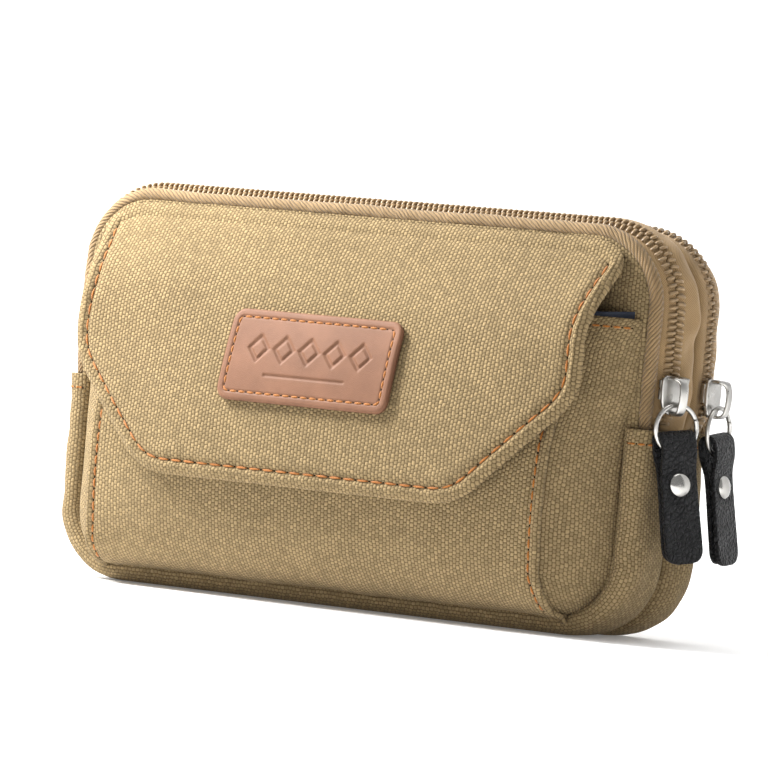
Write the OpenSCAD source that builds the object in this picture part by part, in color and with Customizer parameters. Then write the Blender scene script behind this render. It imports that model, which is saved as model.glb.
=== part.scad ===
// Canvas belt pouch with two zipped compartments and a flap pocket.
// Millimetres, +Z up. The front faces -Y. The origin is on the base, midway along its width.

/* [Bag] */
// Width between the centres of the two side pipings
bag_w = 168; // [156:1:190]
// Height of the top piping's centre above the base
bag_h = 101; // [94:1:120]
// Radius of the bag's corners, seen from the front
corner_r = 18; // [16:1:22]
// Depth of the front compartment
front_depth = 16; // [16:1:20]
// Depth of the rear compartment
rear_depth = 17; // [17:1:22]
// Height at which the zips end and the canvas gussets begin
zip_end_z = 53; // [46:1:56]

/* [Fabrics] */
// Thickness of the canvas
canvas_t = 1.6; // [1.2:0.1:1.8]
// Thickness of the lining cloth
lining_t = 0.4; // [0.3:0.1:0.5]
// Thickness of the foam behind the canvas
foam_t = 1.2; // [0.8:0.1:1.4]
// Thickness of the zip tapes
tape_t = 0.6; // [0.4:0.1:0.6]
// Radius of the twill piping
piping_r = 1.7; // [1.4:0.1:1.7]

/* [Zips] */
// Width of the closed chain
chain_w = 5.6; // [5.4:0.1:5.6]
// Thickness of the coil
coil_t = 2.2; // [1.8:0.1:2.2]
// Height of the closed sliders' centres
slider_z = 62; // [59.5:0.5:62]
// Angle by which the front zip faces forward from sideways
front_zip_turn = 30; // [20:1:34]
// Angle by which the rear zip faces forward from sideways
rear_zip_turn = 0; // [0:1:4]

/* [Pulls] */
// Radius of the ring's centre line
ring_r = 5.9; // [5.9:0.1:6.2]
// Radius of the ring's wire
wire_r = 0.6; // [0.5:0.05:0.6]
// Width of the leather pull
pull_w = 10; // [9:0.5:10]
// Length of the leather pull below the ring
pull_drop = 29.7; // [26:0.1:34]
// Angle by which the pulls lean out over the bulge of the bag
pull_lean = 5; // [0:1:6]

/* [Pocket and flap] */
// Half width of the pocket's front at its foremost part
pocket_half_w = 67; // [62:1:70]
// Half width of the pocket at its seam on the front panel
pocket_seam_half_w = 80; // [76:1:80]
// Height of the pocket's top edge
pocket_top_z = 80; // [74:1:82]
// Height of the pocket's bottom seam
pocket_base_z = 4.6; // [4:0.1:8]
// Half width of the flap
flap_half_w = 75; // [70:1:77]
// Height of the flap's bottom edge
flap_base_z = 30; // [26:1:36]
// Radius of the flap's curve down the front
flap_r = 124; // [118:1:130]

/* [Label] */
// Width of the leather label
label_w = 50; // [40:1:60]
// Height of the leather label
label_h = 23; // [18:1:26]
// Height of the label's centre above the base
label_z = 62; // [56:1:64]

/* [Belt loops] */
// Width of each belt loop
loop_w = 24; // [18:1:30]
// Distance between the middles of the belt loops
loop_spacing = 92; // [70:1:110]
// Widest belt that the loops take
belt_w = 52; // [40:1:56]
// Clear depth behind each loop
belt_gap = 4.6; // [4.4:0.1:6]

/* [Hidden] */
$fn = 96;
e = 0.05; // gap between pieces that are sewn together
half_w = bag_w / 2;
base_gap = 2; // from the base up to the outline's lowest line
divider_y = 5;
front_y = divider_y - front_depth;
back_y = divider_y + rear_depth;
divider_t = 0.4;

// places of the zips' centre lines: outwards from the outline, and along Y
front_chain = [3.6, divider_y - 9.6];
rear_chain = [5.2, divider_y + 6.4];
tape_start = chain_w / 2; // tapes begin here, measured across from the centre line
tape_flat = 4.5; // and stay in the chain's plane up to here, so that the slider passes
front_tape_w = 1.3; // of the front zip's front tape, which ends short of the piping
front_piping = [0, front_y + piping_r + 0.1];
rear_piping = [0, back_y - piping_r - 0.1];
valley = 2.2; // how far out the tapes meet over the divider

// slider, in its own frame: X outwards, Y across the chain, Z up
slider_w = 7.6;
slider_len = 9.6;
plate_t = 1.2;
plate_gap = coil_t / 2 + 0.4;
post_w = 1;
crown_w = 4;
crown_bar = 1;
window_h = 6.4;
window_n = plate_gap + plate_t + 2; // middle of the crown's window
window_half = 1.5;
window_low = -3.7;
ring_hinge = [window_n, 0, window_low + window_half];

// leather pull, in its own frame: origin in the middle of its loop, where it hangs on the ring
leather_t = 1.2;
tunnel_r = 1.4;
tunnel_half = 1.5;
loop_r = tunnel_r + leather_t;
pull_pivot_drop = ring_r * 2 - (ring_r - sqrt(ring_r * ring_r - pull_w * pull_w / 4)) / 2;
pull_half_t = leather_t + 0.2;
pull_corner_r = 3;
rivet_z = -9.4;
rivet_r = 3;
rivet_post_r = 1.2;

// flap and pocket are cut from cylinders about one line that runs along X
flap_t = 2.6;
patch_t = 1.4;
flap_reach = -32.8; // Y of the flap's foremost line
flap_axis = [flap_reach + flap_r, flap_base_z];
flap_lining_r = flap_r - canvas_t;
flap_inner_r = flap_r - flap_t;
pocket_r = flap_inner_r - 2 * patch_t - 0.4;
pocket_fillet = 13;
pocket_turn_z = pocket_base_z + pocket_fillet;
flap_root_z = 97.5;
flap_cut = [28, 29]; // how far the flap's lower corners are cut off: inwards from the side, and up
flap_corner_r = 14;
patch_w = 60;
patch_z = [36, 54];

// ---------- outlines and sweeps ----------

// 2D rectangle with round corners, between two opposite corners
module round_rect(low, high, r) {
    translate([low[0] + r, low[1]]) square([high[0] - low[0] - 2 * r, high[1] - low[1]]);
    translate([low[0], low[1] + r]) square([high[0] - low[0], high[1] - low[1] - 2 * r]);
    for (x = [low[0] + r, high[0] - r], y = [low[1] + r, high[1] - r]) translate([x, y]) circle(r);
}

// 2D front view of the bag, grown outwards
module outline(grow) {
    low = [-half_w - grow, base_gap - grow];
    high = [half_w + grow, bag_h + grow];
    round_rect(low, high, corner_r + grow);
}

// stands a front view up in the XZ plane and gives it depth from y0 to y1
module slab(y0, y1) {
    translate([0, y1, 0]) rotate([90, 0, 0]) linear_extrude(y1 - y0) children();
}

// gives a side view, drawn as [y, z], width from -half to half
module across_width(half) {
    translate([-half, 0, 0]) rotate([90, 0, 90]) linear_extrude(2 * half) children();
}

// sweeps a section, drawn as [outwards, y], up one side, over the top and down the other
module over_top() {
    for (side = [0, 1]) mirror([side, 0, 0]) {
        translate([half_w, 0, zip_end_z]) linear_extrude(bag_h - corner_r - zip_end_z) children();
        translate([half_w - corner_r, 0, bag_h - corner_r])
            mirror([0, 1, 0]) rotate([90, 0, 0])
                rotate_extrude(angle = 90) translate([corner_r, 0]) children();
    }
    translate([half_w - corner_r, 0, bag_h]) rotate([0, -90, 0]) linear_extrude(bag_w - 2 * corner_r) children();
}

// sweeps a section, drawn as [outwards, y], down one side, under the base and up the other
module under_base() {
    for (side = [0, 1]) mirror([side, 0, 0]) {
        translate([half_w, 0, base_gap + corner_r]) linear_extrude(zip_end_z - base_gap - corner_r) children();
        translate([half_w - corner_r, 0, base_gap + corner_r])
            rotate([90, 0, 0]) mirror([0, 1, 0])
                rotate_extrude(angle = 90) translate([corner_r, 0]) mirror([0, 1]) children();
    }
    translate([-half_w + corner_r, 0, base_gap]) rotate([0, 90, 0]) linear_extrude(bag_w - 2 * corner_r) children();
}

// unit normal of the run that ends at point i
function run_normal(points, i) = let (run = points[i] - points[i - 1]) [-run[1], run[0]] / norm(run);

// mitre at point i of a run of points, for a ribbon of half thickness 1
function mitre(points, i) =
    let (a = run_normal(points, max(i, 1)), b = run_normal(points, min(i + 1, len(points) - 1)))
    (a + b) / (1 + a * b);

// 2D ribbon of thickness t along a run of points
module ribbon(points, t) {
    last = len(points) - 1;
    polygon(concat(
        [for (i = [0 : last]) points[i] + mitre(points, i) * t / 2],
        [for (i = [last : -1 : 0]) points[i] - mitre(points, i) * t / 2]
    ));
}

// point on a zip's plane, so far across from its centre line
function beside(chain, turn, across) = chain + across * [sin(turn), cos(turn)];

// ---------- zips ----------

module coil_row(chain, turn, side) {
    row_w = (chain_w - post_w) / 2 - 0.4;
    middle = side * (chain_w / 2 - e - row_w / 2);
    color("peru") over_top()
        translate(beside(chain, turn, middle)) rotate(-turn) square([coil_t, row_w], center = true);
}

module tape(points) {
    color("burlywood") over_top() ribbon(points, tape_t);
}

module front_zip_front_tape() {
    tape([for (across = [-tape_start, -tape_start - front_tape_w]) beside(front_chain, front_zip_turn, across)]);
}

module front_zip_rear_tape() {
    flat = [for (across = [tape_start, tape_flat]) beside(front_chain, front_zip_turn, across)];
    tape(concat(flat, [[flat[1][0] + 0.3, divider_y - 2.2], [valley, divider_y - 0.6]]));
}

module rear_zip_front_tape() {
    flat = [for (across = [-tape_flat, -tape_start]) beside(rear_chain, rear_zip_turn, across)];
    tape(concat([[valley, divider_y + 0.6]], flat));
}

module rear_zip_rear_tape() {
    flat = [for (across = [tape_start, tape_flat]) beside(rear_chain, rear_zip_turn, across)];
    tape(concat(flat, [rear_piping + (piping_r + tape_t / 2) * [cos(35), -sin(35)]]));
}

module piping(place) {
    color("tan") over_top() translate(place) circle(piping_r);
}

// ---------- compartments ----------

// one flat panel inside the piping, with its outer face at y0 or y1
module panel(y0, y1) {
    slab(y0, y1) outline(-piping_r - e);
}

module front_panel() {
    color("darkkhaki") panel(front_y, front_y + canvas_t);
}

module front_padding() {
    color("white") panel(front_y + canvas_t + e, front_y + canvas_t + foam_t);
}

module rear_panel() {
    color("darkkhaki") panel(back_y - canvas_t, back_y);
}

module rear_padding() {
    color("white") panel(back_y - canvas_t - foam_t, back_y - canvas_t - e);
}

module divider_panel() {
    color("midnightblue") slab(divider_y - divider_t / 2, divider_y + divider_t / 2) outline(valley - tape_t - e);
}

// canvas band that wraps a compartment's sides and base below the zip
module gusset(y0, y1) {
    color("darkkhaki") under_base() translate([base_gap - canvas_t, y0]) square([canvas_t, y1 - y0]);
}

module front_gusset() {
    gusset(front_y, divider_y - divider_t / 2 - e);
}

module rear_gusset() {
    gusset(divider_y + divider_t / 2 + e, back_y);
}

// lining of one compartment: two sheets joined by a band below the zip
module compartment_lining(y0, y1) {
    grow = -piping_r - e;
    color("midnightblue") difference() {
        slab(y0, y1) outline(grow);
        slab(y0 + lining_t, y1 - lining_t) outline(grow - lining_t);
        translate([-bag_w, y0 + lining_t, zip_end_z]) cube([2 * bag_w, y1 - y0 - 2 * lining_t, bag_h]);
    }
}

module front_lining() {
    compartment_lining(front_y + canvas_t + foam_t + e, divider_y - divider_t / 2 - e);
}

module rear_lining() {
    compartment_lining(divider_y + divider_t / 2 + e, back_y - canvas_t - foam_t - e);
}

// ---------- front pocket ----------

// 2D side view of the pocket's filled space, drawn as [y, z]
module pocket_side(inset) {
    r = pocket_r - inset;
    foot_y = flap_axis[0] - sqrt(r * r - pow(pocket_turn_z - flap_axis[1], 2));
    fillet = pocket_fillet - inset;
    intersection() {
        translate(flap_axis) circle(r, $fn = 256);
        translate([foot_y - 1, pocket_turn_z]) square([front_y - e - foot_y + 1, pocket_top_z - pocket_turn_z]);
    }
    intersection() {
        translate([foot_y + fillet, pocket_turn_z]) circle(fillet);
        translate([foot_y, pocket_turn_z - fillet]) square([fillet, fillet]);
    }
    translate([foot_y + fillet, pocket_turn_z - fillet]) square([front_y - e - foot_y - fillet, fillet]);
}

// right side of the pocket in plan: its point at the seam, and one just past its front
function pocket_corner(inset) =
    let (front = flap_axis[0] - pocket_r, reach = (pocket_seam_half_w - pocket_half_w) / (front_y - front))
    [
        [pocket_seam_half_w - inset, front_y],
        [pocket_half_w - inset - 2 * reach, front - 2]
    ];

// 2D plan view of the pocket's filled space: narrower at the front than at its seam
module pocket_plan(inset) {
    corner = pocket_corner(inset);
    polygon([corner[0], corner[1], [-corner[1][0], corner[1][1]], [-corner[0][0], corner[0][1]]]);
}

module pocket_body(side_inset, plan_inset) {
    intersection() {
        across_width(half_w) pocket_side(side_inset);
        linear_extrude(bag_h) pocket_plan(plan_inset);
    }
}

module pocket_front() {
    color("darkkhaki") difference() {
        pocket_body(0, 0);
        pocket_body(canvas_t, -1);
        translate([-half_w, front_y - 2 * canvas_t, 0]) cube([bag_w, 4 * canvas_t, pocket_base_z - e]);
    }
}

// panel on the pocket's slanted side; the outline's point lists run seam, front, front, seam
module pocket_gusset(side) {
    outer = pocket_corner(0);
    inner = pocket_corner(canvas_t);
    color("darkkhaki") mirror([side < 0 ? 1 : 0, 0, 0]) intersection() {
        across_width(half_w) pocket_side(canvas_t + e);
        linear_extrude(bag_h) polygon([outer[0], outer[1], inner[1], inner[0]]);
    }
}

module pocket_gusset_left() {
    pocket_gusset(-1);
}

module pocket_gusset_right() {
    pocket_gusset(1);
}

module pocket_lining() {
    outer = canvas_t + e;
    color("midnightblue") difference() {
        pocket_body(outer, outer);
        pocket_body(outer + lining_t, -1);
    }
}

// 2D ring about the flap's axis, drawn as [y, z], between two radii and two heights
module flap_ring(r0, r1, z0, z1) {
    intersection() {
        difference() {
            translate(flap_axis) circle(r1, $fn = 256);
            translate(flap_axis) circle(r0, $fn = 256);
        }
        translate([2 * flap_reach, z0]) square([front_y - 0.3 - 2 * flap_reach, z1 - z0]);
    }
}

module loop_patch() {
    color("black") across_width(patch_w / 2)
        flap_ring(pocket_r + e, pocket_r + patch_t, patch_z[0], patch_z[1]);
}

// ---------- flap ----------

// 2D front view of the flap: straight sides, lower corners cut off at a slant, round at both ends
module flap_outline() {
    slant = atan2(flap_cut[1], flap_cut[0]);
    out = flap_corner_r * [sin(slant), -cos(slant)];
    low = [flap_half_w - flap_cut[0] - flap_corner_r * tan(slant / 2), flap_base_z + flap_corner_r];
    high = [flap_half_w - flap_corner_r, flap_base_z + flap_cut[1] + flap_corner_r * tan(45 - slant / 2)];
    right = [[low[0], flap_base_z], low + out, high + out, [flap_half_w, high[1]], [flap_half_w, flap_root_z]];
    left = [for (i = [len(right) - 1 : -1 : 0]) [-right[i][0], right[i][1]]];
    polygon(concat(right, left));
    for (side = [-1, 1], middle = [low, high]) translate([side * middle[0], middle[1]]) circle(flap_corner_r);
}

module flap_layer(r0, r1, inset) {
    intersection() {
        across_width(half_w) flap_ring(r0, r1, flap_base_z + inset, flap_root_z);
        slab(2 * flap_reach, 0) flap_outline();
    }
}

module flap_canvas() {
    color("darkkhaki") flap_layer(flap_lining_r, flap_r, 0);
}

module flap_lining() {
    color("midnightblue") flap_layer(flap_inner_r, flap_lining_r - e, 0);
}

module hook_patch() {
    color("black") across_width(patch_w / 2)
        flap_ring(flap_inner_r - patch_t, flap_inner_r - e, patch_z[0], patch_z[1]);
}

module leather_label() {
    label_t = 1.8;
    color("rosybrown") intersection() {
        across_width(label_w / 2) flap_ring(flap_r + e, flap_r + label_t, flap_base_z, bag_h);
        slab(2 * flap_reach, 0) translate([0, label_z])
            round_rect([-label_w / 2, -label_h / 2], [label_w / 2, label_h / 2], 3);
    }
}

// ---------- belt loops ----------

module belt_loop(side) {
    tab = 9;
    rise = 2;
    y0 = back_y + e + canvas_t / 2;
    y1 = y0 + belt_gap + canvas_t;
    z0 = bag_h / 2 - belt_w / 2 - rise;
    z1 = bag_h / 2 + belt_w / 2 + rise;
    color("darkkhaki") translate([side * loop_spacing / 2, 0, 0]) across_width(loop_w / 2)
        ribbon([[y0, z0 - tab], [y0, z0], [y1, z0], [y1, z1], [y0, z1], [y0, z1 + tab]], canvas_t);
}

module belt_loop_left() {
    belt_loop(-1);
}

module belt_loop_right() {
    belt_loop(1);
}

// ---------- sliders and pulls ----------

// puts children in a slider's frame: X outwards, Y across the chain, Z up
module at_slider(chain, turn) {
    translate([half_w + chain[0], chain[1], slider_z]) rotate([0, 0, -turn]) children();
}

// puts children in a leather pull's frame
module at_pull(chain, turn) {
    at_slider(chain, turn) translate(ring_hinge - [0, 0, pull_pivot_drop]) rotate([0, -pull_lean, 0]) children();
}

// gives a side view, drawn as [outwards, z], width w across the chain
module across_chain(w) {
    translate([0, w / 2, 0]) rotate([90, 0, 0]) linear_extrude(w) children();
}

// 2D slider plate seen from outside: shoulders at the nose, straight sides at the mouth
module plate_outline() {
    half = slider_w / 2;
    end = slider_len / 2;
    polygon([[-half, end - 1], [-half + 1, end], [half - 1, end], [half, end - 1],
             [half, -1], [half - 1.2, -end], [-half + 1.2, -end], [-half, -1]]);
}

module slider_body(chain, turn) {
    flange_h = 0.8;
    color("silver") at_slider(chain, turn) {
        for (n = [plate_gap, -plate_gap - plate_t])
            translate([n, 0, 0]) rotate([90, 0, 90]) linear_extrude(plate_t) plate_outline();
        for (n = [plate_gap - flange_h, -plate_gap], side = [-1, 1])
            translate([n, side * (slider_w / 2 - 0.3) - 0.3, -1]) cube([flange_h, 0.6, slider_len / 2]);
        translate([-plate_gap, -post_w / 2, -slider_len / 2 + 0.4]) cube([2 * plate_gap, post_w, 2.4]);
    }
}

module slider_crown(chain, turn) {
    n0 = plate_gap + plate_t + e;
    n1 = window_n + window_half + crown_bar;
    low = window_low - crown_bar;
    high = window_low + window_h + crown_bar;
    color("silver") at_slider(chain, turn) across_chain(crown_w) difference() {
        round_rect([n0 - 3, low], [n1, high], 2);
        translate([n0 - 4, low - 1]) square([4, high - low + 2]);
        round_rect([window_n - window_half, window_low], [window_n + window_half, window_low + window_h], 1.4);
    }
}

module pull_ring(chain, turn) {
    color("silver") at_slider(chain, turn) translate(ring_hinge - [0, 0, ring_r])
        rotate([0, 90, 0]) rotate_extrude() translate([ring_r, 0]) circle(wire_r, $fn = 48);
}

// 2D side view of the folded leather strip, drawn as [outwards, z]
module pull_side() {
    pinch_z = -6.5;
    difference() {
        union() {
            translate([0, tunnel_half]) circle(loop_r);
            polygon([
                [-loop_r, tunnel_half], [-loop_r, -tunnel_half], [-pull_half_t, pinch_z], [-pull_half_t, -pull_drop],
                [pull_half_t, -pull_drop], [pull_half_t, pinch_z], [loop_r, -tunnel_half], [loop_r, tunnel_half]
            ]);
        }
        square([2 * tunnel_r, 2 * tunnel_half], center = true);
        for (z = [-tunnel_half, tunnel_half]) translate([0, z]) circle(tunnel_r);
    }
}

module pull_leather(chain, turn) {
    color("black") at_pull(chain, turn) difference() {
        intersection() {
            across_chain(pull_w) pull_side();
            rotate([90, 0, 90]) linear_extrude(4 * loop_r, center = true)
                round_rect([-pull_w / 2, -pull_drop], [pull_w / 2, 2 * loop_r + 3], pull_corner_r);
        }
        translate([0, 0, rivet_z]) rotate([0, 90, 0]) cylinder(h = 4 * loop_r, r = rivet_post_r + e, center = true);
    }
}

module pull_rivet(chain, turn) {
    cap_h = 1;
    dome_r = (rivet_r * rivet_r + cap_h * cap_h) / (2 * cap_h);
    color("silver") at_pull(chain, turn) translate([0, 0, rivet_z]) rotate([0, 90, 0]) {
        cylinder(h = 2 * pull_half_t + 0.2, r = rivet_post_r, center = true);
        for (side = [0, 1]) mirror([0, 0, side]) translate([0, 0, pull_half_t + e]) intersection() {
            translate([0, 0, cap_h - dome_r]) sphere(dome_r);
            cylinder(h = cap_h, r = rivet_r);
        }
    }
}

// ---------- assembly ----------

front_panel();
front_padding();
front_lining();
front_gusset();
piping(front_piping);
front_zip_front_tape();
front_zip_rear_tape();
coil_row(front_chain, front_zip_turn, -1);  // front_zip_front_coil
coil_row(front_chain, front_zip_turn, 1);  // front_zip_rear_coil
divider_panel();
rear_panel();
rear_padding();
rear_lining();
rear_gusset();
piping(rear_piping);
rear_zip_front_tape();
rear_zip_rear_tape();
coil_row(rear_chain, rear_zip_turn, -1);  // rear_zip_front_coil
coil_row(rear_chain, rear_zip_turn, 1);  // rear_zip_rear_coil
pocket_front();
pocket_lining();
pocket_gusset_left();
pocket_gusset_right();
loop_patch();
flap_canvas();
flap_lining();
hook_patch();
leather_label();
belt_loop_left();
belt_loop_right();
slider_body(front_chain, front_zip_turn);  // front_slider_body
slider_crown(front_chain, front_zip_turn);  // front_slider_crown
pull_ring(front_chain, front_zip_turn);  // front_pull_ring
pull_leather(front_chain, front_zip_turn);  // front_pull_leather
pull_rivet(front_chain, front_zip_turn);  // front_pull_rivet
slider_body(rear_chain, rear_zip_turn);  // rear_slider_body
slider_crown(rear_chain, rear_zip_turn);  // rear_slider_crown
pull_ring(rear_chain, rear_zip_turn);  // rear_pull_ring
pull_leather(rear_chain, rear_zip_turn);  // rear_pull_leather
pull_rivet(rear_chain, rear_zip_turn);  // rear_pull_rivet
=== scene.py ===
"""Canvas belt pouch: cloth, leather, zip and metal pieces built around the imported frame."""
import math

import bmesh
import bpy
import numpy as np
from bpy.props import FloatProperty, FloatVectorProperty, PointerProperty
from mathutils import Matrix, Vector


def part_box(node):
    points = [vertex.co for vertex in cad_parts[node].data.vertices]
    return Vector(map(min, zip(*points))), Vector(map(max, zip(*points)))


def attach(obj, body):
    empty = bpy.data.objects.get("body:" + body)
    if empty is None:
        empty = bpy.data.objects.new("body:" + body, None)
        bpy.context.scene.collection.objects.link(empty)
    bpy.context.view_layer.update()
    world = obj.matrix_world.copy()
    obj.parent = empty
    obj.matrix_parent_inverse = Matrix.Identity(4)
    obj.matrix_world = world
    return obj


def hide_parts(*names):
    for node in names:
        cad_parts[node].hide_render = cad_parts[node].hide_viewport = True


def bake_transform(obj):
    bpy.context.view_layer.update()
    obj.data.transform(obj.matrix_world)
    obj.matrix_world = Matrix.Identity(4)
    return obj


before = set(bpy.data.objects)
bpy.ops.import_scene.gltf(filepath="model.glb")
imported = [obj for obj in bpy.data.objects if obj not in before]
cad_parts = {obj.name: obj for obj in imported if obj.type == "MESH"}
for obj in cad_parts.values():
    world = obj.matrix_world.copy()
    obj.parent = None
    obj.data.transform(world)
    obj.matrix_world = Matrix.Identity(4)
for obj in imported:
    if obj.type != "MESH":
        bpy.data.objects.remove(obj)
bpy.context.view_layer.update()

bl_info = {
    "name": "Canvas Belt Pouch",
    "version": (1, 0, 0),
    "blender": (4, 5, 0),
    "location": "3D View > Sidebar > Pouch",
    "description": "Builds a canvas belt pouch around its CAD frame",
    "category": "Add Mesh",
}

MM = 0.001
FINISH = "_finish"


# ---------------------------------------------------------------- sizes taken from the frame, in mm

def node_box(node):
    """Low and high corner of a CAD node, in mm."""
    low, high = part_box(node)
    return np.array(low) / MM, np.array(high) / MM


PIPING_LOW, PIPING_HIGH = node_box("front_piping")
PIPING_R = (PIPING_HIGH[1] - PIPING_LOW[1]) / 2
HALF_W = PIPING_HIGH[0] - PIPING_R
TOP = PIPING_HIGH[2] - PIPING_R
ZIP_END = PIPING_LOW[2]
FRONT = node_box("front_panel")[0][1]
BACK = node_box("rear_panel")[1][1]
DIVIDER = sum(box[1] for box in node_box("divider_panel")) / 2
CANVAS_T = node_box("front_panel")[1][1] - FRONT
BASE = 2.0
CORNER_R = 18.0
# Each zip's centre line: how far it stands out, its y, and how many degrees it turns to the front.
CHAIN = {"front": (3.6, DIVIDER - 9.6, 30.0), "rear": (5.2, DIVIDER + 6.4, 0.0)}
CHAIN_HALF = 2.3
# How much further out each zip stands along the top than at the bag's ends; below 0 is further in.
TOP_SINK = {"front": -1.2, "rear": -3.2}
FLAP_LOW, FLAP_HIGH = node_box("flap_canvas")
FLAP_HALF = FLAP_HIGH[0]
FLAP_R = 124.0
FLAP_AXIS_Y = FLAP_LOW[1] + FLAP_R
FLAP_AXIS_Z = FLAP_LOW[2]
FLAP_TOP = TOP - PIPING_R + 0.3
FLAP_T = 2.6
POCKET_R = FLAP_R - 5.8
POCKET_TOP = node_box("pocket_front")[1][2]
POCKET_BASE = node_box("pocket_front")[0][2]
POCKET_HALF = 67.0
POCKET_SEAM_HALF = 80.0
POCKET_TURN = 13.0
LINING_T = 0.35
# Points nearer than this are joined.
WELD = 0.005
# How sharply a strip's section changes from the bag's ends to its top or base.
SIDE_BLEND = 1.5
# Stitch pitch of the gussets.
HEM_PITCH = 2.6
LABEL_LOW, LABEL_HIGH = node_box("leather_label")
SLIDER_Z = sum(box[2] for box in node_box("front_slider_body")) / 2


# ---------------------------------------------------------------- what a user would change

class PouchSizes(bpy.types.PropertyGroup):
    """Sizes of the cloth, the stitching and the zips."""

    column: FloatProperty(name="Warp spacing", description="Distance between warp yarns",
                          default=1.0 * MM, min=0.3 * MM, max=3 * MM, unit="LENGTH")
    row: FloatProperty(name="Yarn repeat", description="Distance between bumps along a warp yarn",
                       default=1.15 * MM, min=0.5 * MM, max=3 * MM, unit="LENGTH")
    stitch: FloatProperty(name="Stitch pitch", description="Length of one stitch and its gap",
                          default=3.0 * MM, min=1.5 * MM, max=6 * MM, unit="LENGTH")
    flap_stitch: FloatProperty(name="Flap stitch pitch", description="The longer stitches round the flap",
                               default=4.0 * MM, min=1.5 * MM, max=6 * MM, unit="LENGTH")
    thread: FloatProperty(name="Thread", description="Thickness of the sewing thread",
                          default=0.62 * MM, min=0.3 * MM, max=1.2 * MM, unit="LENGTH")
    coil: FloatProperty(name="Coil pitch", description="Distance between turns of the zip coil",
                        default=1.55 * MM, min=1.0 * MM, max=2.5 * MM, unit="LENGTH")
    flap_hem: FloatProperty(name="Flap hem", description="Distance of the flap's stitching from its edge",
                            default=3.8 * MM, min=2 * MM, max=8 * MM, unit="LENGTH")
    pocket_hem: FloatProperty(name="Pocket hem", description="Distance of its stitching from its fold",
                              default=2.7 * MM, min=2 * MM, max=6 * MM, unit="LENGTH")
    puff: FloatProperty(name="Puff", description="How far the padded front swells out",
                        default=4.2 * MM, min=0, max=6 * MM, unit="LENGTH")


def colour(name, text, value):
    """A colour property with the same settings for every material."""
    return FloatVectorProperty(name=name, description=text, default=value, subtype="COLOR", size=3,
                               min=0, max=1)


class PouchColours(bpy.types.PropertyGroup):
    """Base colours, linear."""

    canvas: colour("Canvas", "Lit yarn of the canvas", (0.268, 0.194, 0.098))
    # Painted shade: the colour of the low ground between the canvas yarns.
    canvas_gap_shade: colour("Canvas gaps", "Between the canvas yarns", (0.108, 0.073, 0.035))
    twill: colour("Twill", "Piping and zip tapes", (0.262, 0.172, 0.083))
    coil: colour("Coil", "Nylon zip coil", (0.250, 0.165, 0.080))
    thread: colour("Thread", "Topstitching", (0.400, 0.135, 0.012))
    hole: colour("Needle holes", "Shade inside the needle holes", (0.030, 0.018, 0.010))
    label: colour("Label", "Smooth label leather", (0.180, 0.087, 0.050))
    leather: colour("Pull leather", "Pebbled leather of the pulls", (0.0055, 0.0055, 0.0062))
    lining: colour("Lining", "Lining cloth", (0.012, 0.020, 0.042))
    foam: colour("Foam", "Padding behind the canvas", (0.75, 0.74, 0.68))
    tape: colour("Hook and loop", "Fastening patches", (0.020, 0.018, 0.017))
    nickel: colour("Nickel", "Sliders, rings and rivets", (0.720, 0.700, 0.660))
    floor: colour("Floor", "Studio floor", (0.90, 0.90, 0.90))


def sizes():
    return bpy.context.scene.pouch_sizes


def colours():
    return bpy.context.scene.pouch_colours


# ---------------------------------------------------------------- shader helpers

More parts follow.
